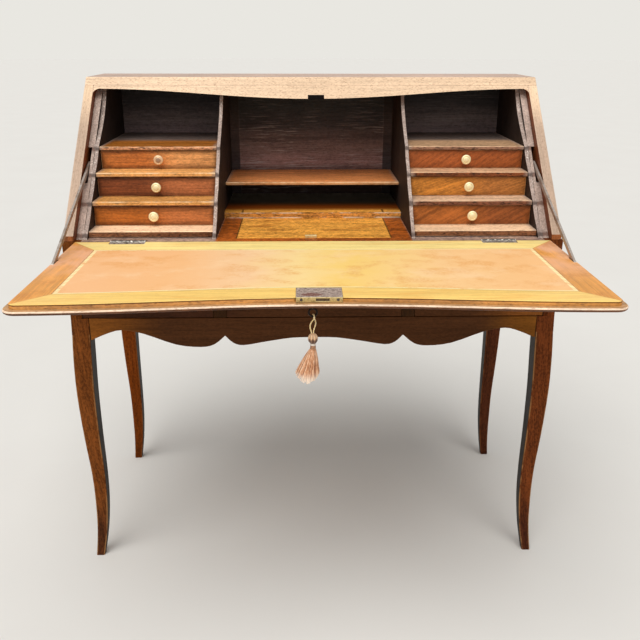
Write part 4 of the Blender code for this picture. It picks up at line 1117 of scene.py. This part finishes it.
def tube_along(line, section, sides, twist=0.0):
    """A closed tube along a line; section gives its radius at an angle and a length along the line."""
    verts = []
    ahead = Vector(line[1]) - Vector(line[0])
    side = ahead.orthogonal().normalized()
    walked = 0.0
    for i, point in enumerate(line):
        here = Vector(point)
        after = Vector(line[min(i + 1, len(line) - 1)])
        before = Vector(line[max(i - 1, 0)])
        ahead = (after - before).normalized()
        side = (side - ahead * side.dot(ahead)).normalized()
        other = ahead.cross(side)
        walked += (here - before).length
        for k in range(sides):
            a = 2 * math.pi * k / sides
            radius = section(a - twist * walked, walked)
            verts.append(here + side * radius * math.cos(a) + other * radius * math.sin(a))
    return verts, ring_faces(len(line), sides)


def tassel_bead():
    """A bead wrapped in vertical turns of yarn."""
    sides = BEAD_WRAPS * WRAP_SIDES
    verts = []
    for i in range(BEAD_ROWS + 1):
        a = math.pi * i / BEAD_ROWS
        z = -BEAD_TOP - BEAD_H * (1 - math.cos(a)) / 2
        wide = max(BEAD_R * math.sin(a) ** 0.75, BEAD_HOLE_R)
        for k in range(sides):
            b = 2 * math.pi * k / sides
            r = wide * (1 - WRAP_DEPTH + WRAP_DEPTH * abs(math.sin(b * BEAD_WRAPS / 2)))
            verts.append(PIVOT + Vector((r * math.cos(b), r * math.sin(b), z)))
    mesh = closed_mesh("tassel_bead", verts, ring_faces(BEAD_ROWS + 1, sides), bead_thread)
    return settle("tassel_bead", mesh, "tassel")


def tassel_neck():
    """Turns of yarn wound round the neck, as one ribbed sleeve."""
    rows = NECK_TURNS * WRAP_SIDES
    top = -BEAD_TOP - BEAD_H + NECK_TUCK
    verts = []
    for i in range(rows + 1):
        share = i / rows
        swell = abs(math.sin(math.pi * NECK_TURNS * share))
        r = NECK_R * (1 - NECK_RIB + NECK_RIB * swell) + (SKIRT_TOP_R - NECK_R) * share ** 3
        z = top - (NECK_H + 2 * NECK_TUCK) * share
        for k in range(NECK_SIDES):
            b = 2 * math.pi * k / NECK_SIDES
            verts.append(PIVOT + Vector((r * math.cos(b), r * math.sin(b), z)))
    mesh = closed_mesh("tassel_neck", verts, ring_faces(rows + 1, NECK_SIDES), neck_thread)
    return settle("tassel_neck", mesh, "tassel")


def tassel_skirt():
    """Strands that fan out from the neck in two layers, each a little wavy and of its own length."""
    draw = random.Random(SKIRT_SEED)
    top = -BEAD_TOP - BEAD_H - NECK_H + SKIRT_TUCK
    verts, faces, shades = [], [], []
    for layer, count in ((1.0, STRANDS), (INNER_LAYER, STRANDS // 2)):
        for n in range(count):
            angle = 2 * math.pi * (n + draw.uniform(-0.2, 0.2)) / count
            length = SKIRT_H * draw.uniform(0.955, 1.0) * (1 - SIDE_SHORTER * math.cos(angle) ** 2)
            wave = draw.uniform(0.0, 2 * math.pi)
            sway = draw.uniform(0.0002, 0.0006)
            line = []
            for i in range(STRAND_STEPS + 1):
                share = i / STRAND_STEPS
                reach = (SKIRT_ROOT_R + (SKIRT_R - SKIRT_ROOT_R) * share ** FAN_CURVE) * layer
                turn = angle + sway / max(reach, 0.003) * math.sin(wave + 7 * share) * share
                lean = SKIRT_LEAN * share ** LEAN_CURVE
                line.append(PIVOT + Vector((
                    lean + reach * math.cos(turn), reach * math.sin(turn), top - length * share,
                )))

            def thick(a, walked, length=length):
                share = min(walked / length, 1.0)
                tip = 1.0 - TIP_THINNER * max(0.0, share - TIP_FROM) / (1.0 - TIP_FROM)
                ply = 1.0 + 0.10 * math.cos(2 * a)
                return (STRAND_TOP_R + (STRAND_LOW_R - STRAND_TOP_R) * share ** 0.6) * ply * tip

            strand = tube_along(line, thick, STRAND_SIDES, 2 * math.pi / STRAND_PITCH)
            join(verts, faces, *strand)
            shades += [draw.choice((0, 0, 1, 1, 2))] * len(strand[1])
    mesh = mesh_of("tassel_skirt", verts, faces, skirt_threads)
    mesh.polygons.foreach_set("material_index", shades)
    return settle("tassel_skirt", mesh, "tassel", smooth=80)


def tassel():
    line = [PIVOT + Vector(p) for p in curve_through(CORD_ROUTE, CORD_STEPS)]

    def two_ply(a, walked):
        return CORD_D / 2 * (0.70 + 0.32 * abs(math.cos(a)))

    verts, faces = tube_along(line, two_ply, CORD_SIDES, 2 * math.pi / CORD_PITCH)
    mesh = closed_mesh("tassel_cord_twisted", verts, faces, cord_thread)
    cord = settle("tassel_cord_twisted", mesh, "tassel", "tassel_cord", smooth=80)
    bead, neck, skirt = tassel_bead(), tassel_neck(), tassel_skirt()
    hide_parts("tassel")


# Stage
FLOOR_R = 40.0
FLOOR_SIDES = 96


def stage():
    ring = [2 * math.pi * i / FLOOR_SIDES for i in range(FLOOR_SIDES)]
    rim = [(FLOOR_R * math.cos(a), FLOOR_R * math.sin(a), 0.0) for a in ring]
    floor = put("floor", mesh_of("floor", rim, [tuple(range(FLOOR_SIDES))], [floor_finish()]))


# Light: one broad soft panel far above and in front, and an even pale surround
PANEL_POWER = 2.75
PANEL_SPREAD_DEG = 55
PANEL_COLOUR = (1.0, 0.985, 0.96)
PANEL_FROM = Vector((-0.25, -0.85, 1.55))
SURROUND = 0.36
SURROUND_COLOUR = (1.0, 0.995, 0.985)
SEEN_SURROUND = 0.815
SEEN_COLOUR = (1.0, 0.981, 0.924)
MIRRORED_SURROUND = 0.60


def lights():
    data = bpy.data.lights.new("panel", "SUN")
    data.energy = PANEL_POWER
    data.angle = math.radians(PANEL_SPREAD_DEG)
    data.color = PANEL_COLOUR
    put("panel", data).rotation_euler = (-PANEL_FROM).to_track_quat("-Z", "Y").to_euler()


def world():
    look = Look("studio", bpy.data.worlds, "Background")
    rays = look.add("LightPath").outputs
    level = look.add("Mix", {0: rays["Is Glossy Ray"], 2: SURROUND, 3: MIRRORED_SURROUND}).outputs[0]
    level = look.add("Mix", {0: rays["Is Camera Ray"], 2: level, 3: SEEN_SURROUND}).outputs[0]
    look.feed(look.shader.inputs["Strength"], level)
    look.feed(look.shader.inputs["Color"], look.mix(rays["Is Camera Ray"], SURROUND_COLOUR, SEEN_COLOUR))
    bpy.context.scene.world = look.material


def camera():
    data = bpy.data.cameras.new("camera")
    data.lens = LENS
    data.sensor_width = SENSOR
    data.clip_start, data.clip_end = NEAREST, FARTHEST
    made = put("camera", data)
    turn = (
        Matrix.Rotation(CAMERA_YAW, 4, "Z")
        @ Matrix.Rotation(math.pi / 2 - CAMERA_TILT, 4, "X")
        @ Matrix.Rotation(CAMERA_ROLL, 4, "Z")
    )
    made.matrix_world = Matrix.Translation(CAMERA_PLACE) @ turn
    bpy.context.scene.camera = made


camera()
tassel()
dress_case()
dress_interior()
dress_fall()
knobs()
all_screws()
stage()
lights()
world()
bpy.context.scene.view_settings.view_transform = "Standard"
